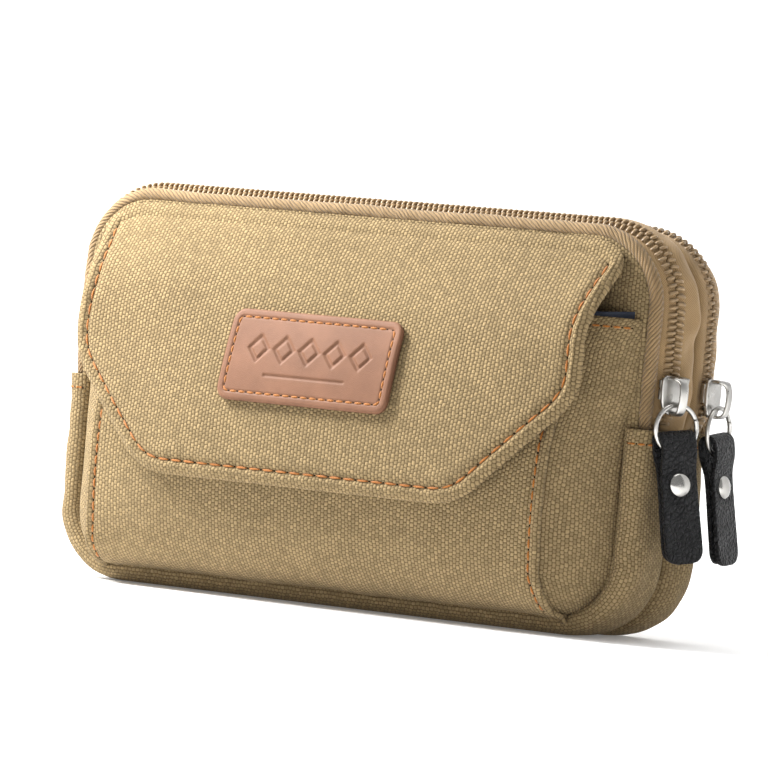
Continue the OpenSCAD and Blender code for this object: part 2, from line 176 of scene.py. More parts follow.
class Shader:
    """Builds one node material with short calls."""

    def __init__(self, name):
        self.material = bpy.data.materials.new(name + FINISH)
        self.material.use_nodes = True
        self.tree = self.material.node_tree
        self.surface = self.tree.nodes["Principled BSDF"]

    def put(self, socket, value):
        if isinstance(value, bpy.types.NodeSocket):
            self.tree.links.new(value, socket)
        elif value is not None:
            socket.default_value = value

    def node(self, kind, **settings):
        made = self.tree.nodes.new(kind)
        for key, value in settings.items():
            setattr(made, key, value)
        return made

    def math(self, operation, a, b=None, c=None, clamp=False):
        made = self.node("ShaderNodeMath", operation=operation, use_clamp=clamp)
        for socket, value in zip(made.inputs, (a, b, c)):
            self.put(socket, value)
        return made.outputs[0]

    def uv(self):
        """The two surface coordinates, in metres along the cloth."""
        made = self.node("ShaderNodeSeparateXYZ")
        self.put(made.inputs[0], self.node("ShaderNodeTexCoord").outputs["UV"])
        return made.outputs[0], made.outputs[1]

    def place(self):
        return self.node("ShaderNodeTexCoord").outputs["Object"]

    def vector(self, x, y, z=0.0):
        made = self.node("ShaderNodeCombineXYZ")
        for socket, value in zip(made.inputs, (x, y, z)):
            self.put(socket, value)
        return made.outputs[0]

    def ripples(self, along, length):
        """A sine wave along a surface coordinate."""
        return self.math("SINE", self.math("MULTIPLY", along, 2 * math.pi / length))

    def noise(self, vector, scale, detail=2.0, rough=0.5):
        made = self.node("ShaderNodeTexNoise")
        self.put(made.inputs["Vector"], vector)
        made.inputs["Scale"].default_value = scale
        made.inputs["Detail"].default_value = detail
        made.inputs["Roughness"].default_value = rough
        return made.outputs["Fac"]

    def cells(self, vector, scale, feature="DISTANCE_TO_EDGE"):
        made = self.node("ShaderNodeTexVoronoi", feature=feature)
        self.put(made.inputs["Vector"], vector)
        made.inputs["Scale"].default_value = scale
        return made.outputs["Distance"]

    def span(self, value, low, high, out_low=0.0, out_high=1.0):
        made = self.node("ShaderNodeMapRange")
        for socket, v in zip(made.inputs, (value, low, high, out_low, out_high)):
            self.put(socket, v)
        return made.outputs[0]

    def mix(self, factor, a, b):
        made = self.node("ShaderNodeMix", data_type="RGBA")
        self.put(made.inputs[0], factor)
        self.put(made.inputs[6], a if isinstance(a, bpy.types.NodeSocket) else (*a, 1))
        self.put(made.inputs[7], b if isinstance(b, bpy.types.NodeSocket) else (*b, 1))
        return made.outputs[2]

    def bump(self, height, distance, strength=1.0):
        made = self.node("ShaderNodeBump")
        made.inputs["Strength"].default_value = strength
        made.inputs["Distance"].default_value = distance
        self.put(made.inputs["Height"], height)
        self.put(self.surface.inputs["Normal"], made.outputs[0])

    def finish(self, base, roughness, **sockets):
        base = base if isinstance(base, bpy.types.NodeSocket) else (*base, 1)
        self.put(self.surface.inputs["Base Color"], base)
        self.put(self.surface.inputs["Roughness"], roughness)
        for name, value in sockets.items():
            self.surface.inputs[name.replace("_", " ")].default_value = value
        return self.material


def shade(rgb, gain):
    return tuple(min(1.0, v * gain) for v in rgb)


def canvas_material():
    """Plain-woven canvas: columns of yarn bumps, each column half a bump off its neighbours, with painted
    shade in the gaps between the yarns.
    """
    s = Shader("canvas")
    u, v = s.uv()
    drift = s.math("MULTIPLY_ADD", s.noise(s.vector(u, v), 260.0, 3.0), 1.0, -0.5)
    sway = s.math("MULTIPLY_ADD", s.noise(s.vector(v, u, 3.0), 300.0, 3.0), 1.1, -0.5)
    across = s.math("ADD", s.math("DIVIDE", u, sizes().column), drift)
    along = s.math("ADD", s.math("DIVIDE", v, sizes().row), sway)
    column = s.math("FLOOR", across)
    stagger = s.math("MULTIPLY", s.math("PINGPONG", column, 1.0), 0.5)
    along = s.math("ADD", along, stagger)
    bump_index = s.math("FLOOR", along)
    x = s.math("MULTIPLY_ADD", s.math("FRACT", across), 2.0, -1.0)
    y = s.math("MULTIPLY_ADD", s.math("FRACT", along), 2.0, -1.0)
    round_x = s.math("SUBTRACT", 1.0, s.math("MULTIPLY", x, x))
    round_y = s.math("SUBTRACT", 1.0, s.math("MULTIPLY", y, y))
    yarn = s.math("SQRT", s.math("MULTIPLY", round_x, round_y, clamp=True))
    each = s.node("ShaderNodeTexWhiteNoise", noise_dimensions="2D")
    s.put(each.inputs["Vector"], s.vector(column, bump_index))
    fibre = s.noise(s.vector(s.math("MULTIPLY", u, 5.0), v), 1500.0, 3.0, 0.6)
    plump = s.math("MULTIPLY_ADD", each.outputs["Value"], 0.35, 0.80)
    height = s.math("MULTIPLY", yarn, plump)
    height = s.math("MULTIPLY_ADD", fibre, 0.22, height)
    pale = shade(colours().canvas, 1.18)
    deep = shade(colours().canvas, 0.74)
    heather = s.span(s.math("MULTIPLY_ADD", fibre, 0.6, each.outputs["Value"]), 0.2, 1.4)
    lit = s.mix(heather, deep, pale)
    patchy = s.span(s.noise(s.vector(u, v), 45.0, 3.0), 0.3, 0.7, 0.94, 1.05)
    # Painted shade: the low ground between the yarns takes the darker gap colour.
    gap = s.span(yarn, 0.22, 0.72)
    cloth = s.mix(gap, colours().canvas_gap_shade, lit)
    toned = s.node("ShaderNodeVectorMath", operation="SCALE")
    s.put(toned.inputs[0], cloth)
    s.put(toned.inputs["Scale"], patchy)
    s.bump(height, 0.30 * MM, 0.9)
    return s.finish(toned.outputs[0], 0.92, Sheen_Weight=0.03, Sheen_Roughness=0.6, Specular_IOR_Level=0.10)


def twill_material(name, base, rib, depth):
    """Fine diagonal ribs, with painted shade in the grooves between them."""
    s = Shader(name)
    u, v = s.uv()
    drift = s.math("MULTIPLY", s.noise(s.vector(u, v), 300.0), 1.1)
    run = s.math("ADD", s.math("DIVIDE", s.math("ADD", u, s.math("MULTIPLY", v, 1.35)), rib), drift)
    x = s.math("MULTIPLY_ADD", s.math("FRACT", run), 2.0, -1.0)
    ridge = s.math("SUBTRACT", 1.0, s.math("POWER", s.math("ABSOLUTE", x), 2.0))
    weft = s.ripples(u, 0.42 * MM)
    cross = s.math("MULTIPLY_ADD", weft, 0.12, ridge)
    fibre = s.noise(s.vector(u, v), 2600.0, 3.0, 0.6)
    height = s.math("MULTIPLY_ADD", fibre, 0.35, cross)
    worn = s.span(s.noise(s.place(), 90.0, 3.0), 0.32, 0.68)
    lit = s.mix(worn, shade(base, 0.86), shade(base, 1.12))
    # Painted shade: the grooves between the ribs are coloured darker.
    cloth = s.mix(s.span(ridge, 0.0, 0.6), shade(base, 0.42), lit)
    s.bump(height, depth, 0.9)
    return s.finish(cloth, 0.86, Sheen_Weight=0.15, Sheen_Roughness=0.5, Specular_IOR_Level=0.2)


def coil_material():
    """Dull nylon wire."""
    s = Shader("zip_coil")
    grain = s.noise(s.place(), 900.0, 2.0)
    base = s.mix(s.span(grain, 0.3, 0.7), shade(colours().coil, 0.82), shade(colours().coil, 1.25))
    s.bump(grain, 0.03 * MM, 0.5)
    return s.finish(base, 0.42, Specular_IOR_Level=0.5)


def thread_material():
    """Twisted sewing thread: fine slanting strands along each stitch, painted lighter on their crests, with
    painted shade between them.
    """
    s = Shader("thread")
    u, v = s.uv()
    twist = s.ripples(s.math("ADD", u, s.math("MULTIPLY", v, 0.6)), 0.45 * MM)
    fuzz = s.noise(s.place(), 1800.0, 2.0)
    height = s.math("MULTIPLY_ADD", fuzz, 0.8, twist)
    # Painted highlight and shade: the thread is lighter on each strand's crest and darker between strands.
    base = s.mix(s.span(twist, -1.0, 1.0), shade(colours().thread, 0.62), shade(colours().thread, 1.15))
    s.bump(height, 0.06 * MM, 0.8)
    return s.finish(base, 0.62, Sheen_Weight=0.2, Specular_IOR_Level=0.3)


def hole_material():
    """Shaded thread channel in the cloth."""
    s = Shader("needle_hole")
    base = s.mix(s.noise(s.place(), 1500.0), shade(colours().hole, 0.6), shade(colours().hole, 1.6))
    return s.finish(base, 0.95, Specular_IOR_Level=0.05)


def label_material():
    """Smooth finished leather with fine pores and darker pressed lines."""
    s = Shader("label_leather")
    pores = s.cells(s.place(), 2600.0)
    cloud = s.noise(s.place(), 120.0, 4.0, 0.6)
    base = s.mix(s.span(cloud, 0.3, 0.7), shade(colours().label, 0.86), shade(colours().label, 1.10))
    height = s.math("MULTIPLY_ADD", cloud, 0.6, s.span(pores, 0.0, 0.25))
    s.bump(height, 0.035 * MM, 0.6)
    return s.finish(base, 0.58, Specular_IOR_Level=0.16)


def pebble_material():
    """Black pebbled leather, painted lighter on the pebbles' tops, with painted shade in the grooves between
    them.
    """
    s = Shader("pull_leather")
    pebble = s.span(s.cells(s.place(), 820.0), 0.0, 0.32)
    crease = s.noise(s.place(), 260.0, 3.0)
    height = s.math("MULTIPLY_ADD", crease, 0.9, s.math("POWER", pebble, 0.6))
    # Painted highlight and shade: lighter on the pebbles' tops, darker in the grooves.
    base = s.mix(pebble, shade(colours().leather, 0.35), shade(colours().leather, 1.6))
    s.bump(height, 0.55 * MM, 1.0)
    return s.finish(base, s.span(crease, 0.2, 0.8, 0.42, 0.62), Specular_IOR_Level=0.26)


def lining_material():
    """Fine, slightly shiny plain weave, painted lighter on its crests, with painted shade in its dips."""
    s = Shader("lining")
    u, v = s.uv()
    weave = s.math("MULTIPLY", s.ripples(u, 0.32 * MM), s.ripples(v, 0.32 * MM))
    # Painted highlight and shade: lighter on the weave's crests, darker in its dips.
    base = s.mix(s.span(weave, -1.0, 1.0), shade(colours().lining, 0.7), shade(colours().lining, 1.5))
    s.bump(weave, 0.05 * MM, 0.5)
    return s.finish(base, 0.62, Sheen_Weight=0.15)


def foam_material():
    """Pale open-celled foam, with painted shade on the low ground along the cells' edges."""
    s = Shader("foam")
    pores = s.cells(s.place(), 1600.0)
    # Painted shade: darker where the foam is low, along the cells' edges.
    base = s.mix(s.span(pores, 0.0, 0.3), shade(colours().foam, 0.6), colours().foam)
    s.bump(pores, 0.15 * MM, 0.6)
    return s.finish(base, 0.95)


def fastener_material(name, scale, depth):
    """Hooks or loops: a dense field of small dark points, painted lighter on their raised tips, with painted
    shade between them.
    """
    s = Shader(name)
    points = s.cells(s.place(), scale, "F1")
    # Painted highlight and shade: lighter on the raised tips, darker on the low ground between.
    base = s.mix(s.span(points, 0.0, 0.6), shade(colours().tape, 2.6), shade(colours().tape, 0.5))
    s.bump(s.math("SUBTRACT", 1.0, points), depth, 0.9)
    return s.finish(base, 0.8, Sheen_Weight=0.2)


def nickel_material(name, roughness):
    """Bright plated metal with faint handling marks, and painted shade that darkens it where its surface
    turns away from the camera.
    """
    s = Shader(name)
    marks = s.noise(s.place(), 700.0, 4.0, 0.65)
    cloud = s.noise(s.place(), 140.0, 2.0)
    # Painted shade: the metal's colour darkens where its surface turns away from the camera.
    facing = s.node("ShaderNodeLayerWeight")
    facing.inputs["Blend"].default_value = 0.35
    painted_grazing_shade = s.span(s.math("MULTIPLY_ADD", cloud, 0.35, facing.outputs["Facing"]), 0.15, 0.75)
    base = s.mix(painted_grazing_shade, shade(colours().nickel, 0.85), shade(colours().nickel, 0.30))
    s.bump(marks, 0.012 * MM, 0.5)
    return s.finish(base, s.span(marks, 0.3, 0.75, roughness, roughness + 0.16), Metallic=1.0)


MAKERS = {
    "canvas": canvas_material,
    "piping_twill": lambda: twill_material("piping_twill", colours().twill, 1.35 * MM, 0.30 * MM),
    "zip_tape": lambda: twill_material("zip_tape", shade(colours().twill, 1.3), 0.62 * MM, 0.10 * MM),
    "zip_coil": coil_material,
    "thread": thread_material,
    "needle_hole": hole_material,
    "label_leather": label_material,
    "pull_leather": pebble_material,
    "lining": lining_material,
    "foam": foam_material,
    "hook_tape": lambda: fastener_material("hook_tape", 1300.0, 0.3 * MM),
    "loop_tape": lambda: fastener_material("loop_tape", 900.0, 0.4 * MM),
    "slider_nickel": lambda: nickel_material("slider_nickel", 0.24),
    "rivet_nickel": lambda: nickel_material("rivet_nickel", 0.14),
}


def material(name):
    """The named material, made the first time that it is asked for."""
    return bpy.data.materials.get(name + FINISH) or MAKERS[name]()


# ---------------------------------------------------------------- mesh helpers, all in mm

def smooth(t):
    """0 below 0, 1 above 1, and an even change between."""
    t = np.clip(t, 0.0, 1.0)
    return t * t * (3 - 2 * t)


def wave(a, b, length, seed=0.0):
    """A slow irregular wave from -1 to 1 over two surface coordinates."""
    k = 2 * math.pi / length
    return (np.sin(k * (a + 0.37 * b) + seed) + np.sin(k * (0.61 * a - 0.83 * b) + 2.1 * seed + 1.3)
            + 0.6 * np.sin(k * (1.73 * a + 0.9 * b) + 0.7 * seed)) / 2.6


def make_object(name, verts, faces, uvs=None, finish="canvas"):
    """A mesh object from points in mm, faces, and one uv pair in mm for each face corner."""
    mesh = bpy.data.meshes.new(name)
    mesh.from_pydata((np.asarray(verts) * MM).tolist(), [], faces)
    if uvs is not None:
        layer = mesh.uv_layers.new(name="Cloth")
        layer.data.foreach_set("uv", (np.asarray(uvs, float) * MM).ravel())
    mesh.materials.append(material(finish))
    mesh.polygons.foreach_set("use_smooth", [True] * len(mesh.polygons))
    mesh.update()
    obj = bpy.data.objects.new(name, mesh)
    bpy.context.scene.collection.objects.link(obj)
    return obj


def grid_faces(rows, cols, close_rows=False, close_cols=False):
    """Quads of a grid of points, and each corner's (row, column) before wrapping round."""
    i, j = np.meshgrid(np.arange(rows if close_rows else rows - 1),
                       np.arange(cols if close_cols else cols - 1), indexing="ij")
    i, j = i.ravel(), j.ravel()
    corners = np.stack([np.stack([i, j], 1), np.stack([i + 1, j], 1),
                        np.stack([i + 1, j + 1], 1), np.stack([i, j + 1], 1)], 1)
    index = (corners[..., 0] % rows) * cols + corners[..., 1] % cols
    return index, corners


def grid_object(name, points, uv, finish, close_rows=False, close_cols=False, flip=False, caps=False):
    """A mesh over a grid of points. uv is a grid too, one row or column longer where the grid closes."""
    rows, cols = points.shape[:2]
    index, corners = grid_faces(rows, cols, close_rows, close_cols)
    if flip:
        index, corners = index[:, ::-1], corners[:, ::-1]
    loops = uv[corners[..., 0], corners[..., 1]].reshape(-1, 2)
    faces = index.tolist()
    closed = caps and close_cols
    if closed:
        ends = [list(range(cols))[::-1], list(range((rows - 1) * cols, rows * cols))]
        if flip:
            ends = [e[::-1] for e in ends]
        for row, end in zip((0, rows - 1), ends):
            faces.append(end)
            loops = np.vstack([loops, uv[row, [e % cols for e in end]]])
    obj = make_object(name, points.reshape(-1, 3), faces, loops, finish)
    if closed:
        face_outwards(obj)
    return obj


def face_outwards(obj):
    """Turns a closed mesh's faces outwards."""
    bm = bmesh.new()
    bm.from_mesh(obj.data)
    bmesh.ops.recalc_face_normals(bm, faces=bm.faces)
    bm.to_mesh(obj.data)
    bm.free()


def weld_points(obj, distance):
    """Joins points that lie nearer to each other than a distance."""
    bm = bmesh.new()
    bm.from_mesh(obj.data)
    bmesh.ops.remove_doubles(bm, verts=bm.verts, dist=distance * MM)
    bm.to_mesh(obj.data)
    bm.free()


def thicken(obj, thickness, offset=-1.0):
    """Gives a sheet its thickness, inwards from its outer face unless offset says otherwise."""
    m = obj.modifiers.new("thickness", "SOLIDIFY")
    m.thickness = thickness * MM
    m.offset = offset
    m.use_even_offset = False
    return obj


def settle(obj, body, slot, *nodes):
    """Ties a finished piece to its body and hides the CAD nodes that it stands for. Its slot is not used."""
    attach(obj, body)
    if nodes:
        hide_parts(*nodes)
    return obj


def unit_rows(vectors):
    """Vectors along the last axis, each scaled to a length of 1."""
    return vectors / np.linalg.norm(vectors, axis=-1, keepdims=True)


def path_sides(path):
    """Directions at right angles to a flat path, to the left of its travel."""
    tangent = unit_rows(np.gradient(path, axis=0))
    return np.stack([-tangent[:, 1], tangent[:, 0]], 1)


def closed_uv(uv):
    """A grid of surface coordinates with its first column repeated at the end."""
    return np.concatenate([uv, uv[:, :1]], 1)


def no_uv(rows, cols):
    """Surface coordinates for a closed grid whose material doesn't use them."""
    return np.zeros((rows, cols + 1, 2))


def run_lengths(points):
    """Distance along a run of points."""
    steps = np.linalg.norm(np.diff(points, axis=0), axis=1)
    return np.concatenate([[0.0], np.cumsum(steps)])


def resample(points, count):
    """The same run of points, evenly spaced."""
    points = np.asarray(points, float)
    s = run_lengths(points)
    t = np.linspace(0, s[-1], count)
    return np.stack([np.interp(t, s, points[:, k]) for k in range(points.shape[1])], 1)


def rounded_run(points, cuts=3):
    """A run of points with its inner corners softened by repeated corner cutting."""
    points = np.asarray(points, float)
    for _ in range(cuts):
        a, b = points[:-1], points[1:]
        cut = np.stack([0.75 * a + 0.25 * b, 0.25 * a + 0.75 * b], 1).reshape(-1, points.shape[1])
        points = np.vstack([points[:1], cut[1:-1], points[-1:]])
    return points


# ---------------------------------------------------------------- the bag's outline

def outline_run(upper, count):
    """Points and outward directions of the bag's outline, from the left zip end to the right one:
    over the top if upper, else under the base. Columns: x, z, outward x, outward z, distance."""
    sign = 1.0 if upper else -1.0
    far = TOP if upper else BASE
    turn_z = far - sign * CORNER_R
    straight = abs(turn_z - ZIP_END)
    arc = CORNER_R * math.pi / 2
    across = 2 * (HALF_W - CORNER_R)
    total = 2 * straight + 2 * arc + across
    rows = []
    for s in np.linspace(0, total, count):
        mirrored = s > total / 2
        t = total - s if mirrored else s
        if t < straight:
            x, z, nx, nz = -HALF_W, ZIP_END + sign * t, -1.0, 0.0
        elif t < straight + arc:
            a = (t - straight) / CORNER_R
            nx, nz = -math.cos(a), sign * math.sin(a)
            x, z = -HALF_W + CORNER_R + CORNER_R * nx, turn_z + CORNER_R * nz
        else:
            x, z, nx, nz = -HALF_W + CORNER_R + t - straight - arc, far, 0.0, sign
        if mirrored:
            x, nx = -x, -nx
        rows.append((x, z, nx, nz, s))
    return np.array(rows)


def outline_loop(count, grow=0.0):
    """The whole outline as a closed loop of (x, z) points, grown outwards."""
    top = outline_run(True, count)[:-1]
    base = outline_run(False, count)[::-1][:-1]
    both = np.vstack([top, base])
    return both[:, :2] + grow * both[:, 2:4]


def sweep(run, outwards, ys):
    """Carries a section, given as (outwards, y) for each place along the run, round the outline."""
    x = run[:, 0:1] + run[:, 2:3] * outwards
    z = run[:, 1:2] + run[:, 3:4] * outwards
    return np.stack([x, np.broadcast_to(ys, x.shape), z], -1)


def swept_uv(run, section, turn=False):
    """Surface coordinates of a swept strip: along the section, and along the run."""
    s = run_lengths(section)
    along = np.broadcast_to(run[:, 4:5], (len(run), len(s)))
    across = np.broadcast_to(s[None], along.shape)
    return np.stack([along, across] if turn else [across, along], -1)


def strip_points(upper, side, flat, count=520, ripple=0.0, tuck=0.0, flare=0.0, seed=0.0):
    """Points and surface coordinates of a strip swept round the outline. side is its section at the
    bag's ends, and flat the section along the top or base; both run front to back as (outwards, y)."""
    run = outline_run(upper, count)
    across = 26
    side = resample(rounded_run(side), across)
    flat = resample(rounded_run(flat), across)
    w = np.abs(run[:, 2:3]) ** SIDE_BLEND
    outwards = w * side[None, :, 0] + (1 - w) * flat[None, :, 0]
    ys = w * side[None, :, 1] + (1 - w) * flat[None, :, 1]
    middle = np.sin(np.linspace(0, math.pi, across))[None]
    length = run[:, 4:5]
    outwards = outwards + ripple * w * middle * wave(length, ys * 1.6, 15.0, seed)
    from_end = np.minimum(length, length[-1] - length)
    tucked = tuck * (1 - smooth(from_end / 7.0))
    flared = flare * middle * (1 - smooth(from_end / 9.0))
    outwards = outwards - tucked + flared
    return sweep(run, outwards, ys), swept_uv(run, side)


def strip(name, upper, side, flat, finish, thickness, flip=False, **shape):
    """A cloth strip swept round the outline."""
    points, uv = strip_points(upper, side, flat, **shape)
    return thicken(grid_object(name, points, uv, finish, flip=flip), thickness)


# ---------------------------------------------------------------- shapes of the front

def flap_depth(z):
    """Y of the flap's cylinder at height z."""
    return FLAP_AXIS_Y - np.sqrt(FLAP_R ** 2 - (z - FLAP_AXIS_Z) ** 2)


def swell(x, z):
    """How far the padded front stands out of its cylinder, forwards, over the pouch's front."""
    puff = sizes().puff / MM
    side = np.clip(np.abs(x) / FLAP_HALF, 0, 1.1)
    height = np.clip((z - POCKET_BASE) / (TOP - POCKET_BASE), 0, 1)
    shoulder = 5.0 * side ** 2 * np.exp(-((z - 78.0) / 13.0) ** 2)
    return puff * (1 - side ** 2.4) * np.sin(math.pi * height ** 0.85) ** 0.8 - 1.4 * side ** 4 + shoulder


def surface_frame(surface, x, z):
    """Points on a front surface y = surface(x, z), and its outward (forward) normals."""
    d = 0.05
    y = surface(x, z)
    gx = (surface(x + d, z) - surface(x - d, z)) / (2 * d)
    gz = (surface(x, z + d) - surface(x, z - d)) / (2 * d)
    normal = unit_rows(np.stack([gx, -np.ones_like(gx), gz], -1))
    return np.stack([x, y, z], -1), normal


def soft_least(a, b):
    """The lesser of two values, with the change from one to the other smoothed over about a millimetre."""
    sharpness = 1.6
    return -np.log(np.exp(-sharpness * a) + np.exp(-sharpness * b)) / sharpness


def flap_surface(x, z):
    """Outer face of the flap's cloth."""
    seam = FRONT - 1.4 + 1.4 * smooth((z - FLAP_TOP + 2.0) / 2.0)
    return soft_least(flap_depth(z) - swell(x, z) + 0.25 * wave(x, z, 46.0, 2.0), seam)


def flap_outline(count):
    """Closed loop round the flap as (x, z): from the top's middle, clockwise seen from the front."""
    cut_x, cut_z, r = 28.0, 29.0, 14.0
    corner = CORNER_R - PIPING_R + 0.3
    turn = math.acos((FLAP_HALF + 2.4 - HALF_W + CORNER_R) / corner)
    slant = math.atan2(cut_z, cut_x)
    low = (FLAP_HALF - cut_x - r * math.tan(slant / 2), FLAP_AXIS_Z + r)
    high = (FLAP_HALF - r, FLAP_AXIS_Z + cut_z + r * math.tan(math.pi / 4 - slant / 2))
    right = [(0.0, FLAP_TOP)]
    right += [(HALF_W - CORNER_R + corner * math.cos(a), TOP - CORNER_R + corner * math.sin(a))
              for a in np.linspace(math.pi / 2, turn, 12)]
    right += [(FLAP_HALF + 1.0, 88.0), (FLAP_HALF - 0.6, 78.0)]
    right += [(high[0] + r * math.cos(a), high[1] + r * math.sin(a))
              for a in np.linspace(0, slant - math.pi / 2, 12)]
    right += [(low[0] + r * math.cos(a), low[1] + r * math.sin(a))
              for a in np.linspace(slant - math.pi / 2, -math.pi / 2, 12)]
    right += [(0.0, FLAP_AXIS_Z)]
    left = [(-x, z) for x, z in right[::-1]]
    return softened(resample(np.array(right + left[1:]), count + 1)[:-1], 5)


def softened(loop, reach):
    """A closed loop with each point moved to the mean of its neighbours on both sides."""
    return sum(np.roll(loop, k, 0) for k in range(-reach, reach + 1)) / (2 * reach + 1)


def loop_normals(loop, reach=0):
    """Outward directions of a closed loop that runs clockwise seen with x right and z up. A reach
    above zero turns them more gradually, so that deep insets don't fold over at the corners."""
    tangent = unit_rows(softened(np.roll(loop, -1, 0) - np.roll(loop, 1, 0), reach))
    return np.stack([-tangent[:, 1], tangent[:, 0]], 1)


def edge_rings(loop, insets, centre, steps, reach=0):
    """Loops inset from an outline by distances, and then scaled towards its centre."""
    normals = loop_normals(loop, reach)
    rings = [loop - normals * inset for inset in insets]
    last = rings[-1]
    for f in np.linspace(1, 0.0, steps + 1)[1:]:
        rings.append(centre + (last - centre) * f)
    return np.array(rings)


def pad_object(name, rings, lifts, surface, finish, arc=None):
    """A sheet over a front surface from rings of (x, z) points. lifts holds each ring's height
    above the surface. arc gives the cloth's own distance up the surface for a height."""
    x, z = rings[..., 0], rings[..., 1]
    base, normal = surface_frame(surface, x, z)
    points = base + normal * lifts
    v = z if arc is None else arc(z)
    obj = grid_object(name, points, closed_uv(np.stack([x, v], -1)), finish, close_cols=True)
    weld_points(obj, WELD)
    return obj


def flap_arc(z):
    """Distance up the flap's curved face for a height."""
    return FLAP_R * np.arcsin(np.clip((z - FLAP_AXIS_Z) / FLAP_R, -1, 1))


def hem_profile(hem, thickness, depth=0.6):
    """Insets and lifts of a turned and stitched edge: from under the cloth, round the fold,
    over the puffy hem, down into the stitching groove and up again."""
    r = thickness / 2
    under = [(hem + 3.2, -thickness + 0.1), (hem + 0.5, -thickness), (r, -thickness)]
    fold = [(r - r * math.cos(a), -r + r * math.sin(a)) for a in np.linspace(-1.2, 1.2, 7)]
    puff = [(r + 0.35, 0.16), (hem * 0.5, 0.42), (hem * 0.78, 0.10)]
    groove = [(hem - 0.25, -depth * 0.75), (hem, -depth), (hem + 0.25, -depth * 0.75)]
    inner = [(hem + 0.9, 0.0), (hem + 2.0, 0.16), (hem + 3.6, 0.12)]
    return np.array(under + fold + puff + groove + inner)


def puckers(loop, rings_inset, hem, pitch):
    """Small gathers that the stitches pull into the cloth beside them."""
    closed = np.vstack([loop, loop[:1]])
    s = run_lengths(closed)[:-1][None]
    near = np.exp(-((rings_inset[:, None] - hem) / 1.8) ** 2)
    coarse = np.exp(-((rings_inset[:, None] - hem) / 5.0) ** 2)
    gathers = 0.05 * near * np.cos(2 * math.pi * s / pitch)
    return gathers + 0.16 * coarse * wave(s, s * 0.0, 14.0, 1.0)


# ---------------------------------------------------------------- stitching

STITCH_SIDES = 8
STITCH_ROWS = 9
STITCH_ANGLES = np.linspace(0, 2 * math.pi, STITCH_SIDES, endpoint=False)


def on_path(path, normals, distance):
    """The point of a path at a distance along it, and the cloth's normal there."""
    s = run_lengths(path)
    point = np.array([np.interp(distance, s, path[:, k]) for k in range(3)])
    normal = np.array([np.interp(distance, s, normals[:, k]) for k in range(3)])
    return point, normal / np.linalg.norm(normal)


def stitch_rings(at, start, length, radius, sink, slack):
    """Rings of points along one stitch, which arches over the cloth between its two holes."""
    rings = []
    for t in np.linspace(0, 1, STITCH_ROWS):
        point, normal = at(start + t * length)
        ahead, _ = at(start + t * length + 0.05)
        along = (ahead - point) / np.linalg.norm(ahead - point)
        side = np.cross(normal, along)
        arch = math.sin(math.pi * t) ** 0.6
        centre = point + normal * (arch * 1.05 * radius - sink - radius * 0.35) + side * slack * (t - 0.5)
        r = radius * (0.30 + 0.70 * arch)
        rings.append([centre + r * (math.cos(a) * side + 0.8 * math.sin(a) * normal) for a in STITCH_ANGLES])
    return rings


def needle_hole(point, normal):
    """Three rings of a small dark dimple, raised off the cloth so that it isn't buried."""
    side = np.cross(normal, [0.0, 0.0, 1.0] if abs(normal[2]) < 0.9 else [1.0, 0.0, 0.0])
    side /= np.linalg.norm(side)
    up = np.cross(side, normal)
    sink = 0.05
    return [point + normal * (h - sink) + r * (math.cos(a) * side + math.sin(a) * up)
            for r, h in ((0.26, -0.05), (0.22, 0.08), (0.10, 0.10)) for a in STITCH_ANGLES]


def stitch_line(name, path, normals, body, slot, pitch=None, holes=True, sink=0.12, start=0.5):
    """A row of separate stitches along a path on the cloth, with a needle hole between each two."""
    pitch = pitch or sizes().stitch / MM
    radius = sizes().thread / MM / 2
    length = 0.82 * pitch
    count = int((run_lengths(path)[-1] - 2 * start) // pitch)
    index, corners = grid_faces(STITCH_ROWS, STITCH_SIDES, close_cols=True)
    last = (STITCH_ROWS - 1) * STITCH_SIDES
    verts, faces, uvs = [], [], []

    def at(distance):
        return on_path(path, normals, distance)

    for i in range(count):
        first = start + i * pitch + 0.12 * pitch
        base = len(verts)
        for ring in stitch_rings(at, first, length, radius, sink, 0.06 * math.sin(7.1 * i)):
            verts += ring
        faces += (index + base).tolist()
        uv = np.stack([corners[..., 0] * length / STITCH_ROWS + first, corners[..., 1] * 0.3], -1)
        uvs += uv.reshape(-1, 2).tolist()
        faces.append([base + k for k in range(STITCH_SIDES)])
        faces.append([base + last + k for k in range(STITCH_SIDES)][::-1])
        uvs += [[first, 0.0]] * (2 * STITCH_SIDES)
    thread = make_object(name, np.array(verts), faces, np.array(uvs), "thread")
    settle(thread, body, slot)
    if holes:
        dots, dot_faces = [], []
        index, _ = grid_faces(3, STITCH_SIDES, close_cols=True)
        for i in range(count + 1):
            base = len(dots)
            dots += needle_hole(*at(start + i * pitch + 0.03 * pitch))
            dot_faces += (index + base).tolist()
            dot_faces.append([base + 2 * STITCH_SIDES + k for k in range(STITCH_SIDES)])
            dot_faces.append([base + k for k in range(STITCH_SIDES)][::-1])
        settle(make_object(name + "_holes", np.array(dots), dot_faces, None, "needle_hole"), body, slot)
    return thread


# ---------------------------------------------------------------- operators: the bag

class PieceOperator:
    """What every piece's operator shares."""

    bl_options = {"REGISTER", "UNDO"}

    def execute(self, context):
        self.build(context)
        return {"FINISHED"}


def panel_disc(name, y, forward, grow, finish, thickness, puff):
    """A flat panel inside the outline, swelling gently outwards. forward is -1 for a front face."""
    loop = outline_loop(150, grow)
    centre = np.array([0.0, (TOP + BASE) / 2])
    rings = edge_rings(loop, [0.0, 1.0, 2.0, 4.0, 7.0], centre, 20)
    reach = 1 - np.linspace(1, 0, len(rings))[:, None]
    rise = puff * smooth(reach * 2.2) * np.ones(rings.shape[:2])
    y_all = y + forward * (rise + 0.3 * wave(rings[..., 0], rings[..., 1], 60.0, y))
    points = np.stack([rings[..., 0], y_all, rings[..., 1]], -1)
    obj = grid_object(name, points, closed_uv(rings), finish, close_cols=True, flip=forward > 0)
    weld_points(obj, WELD)
    return thicken(obj, thickness)


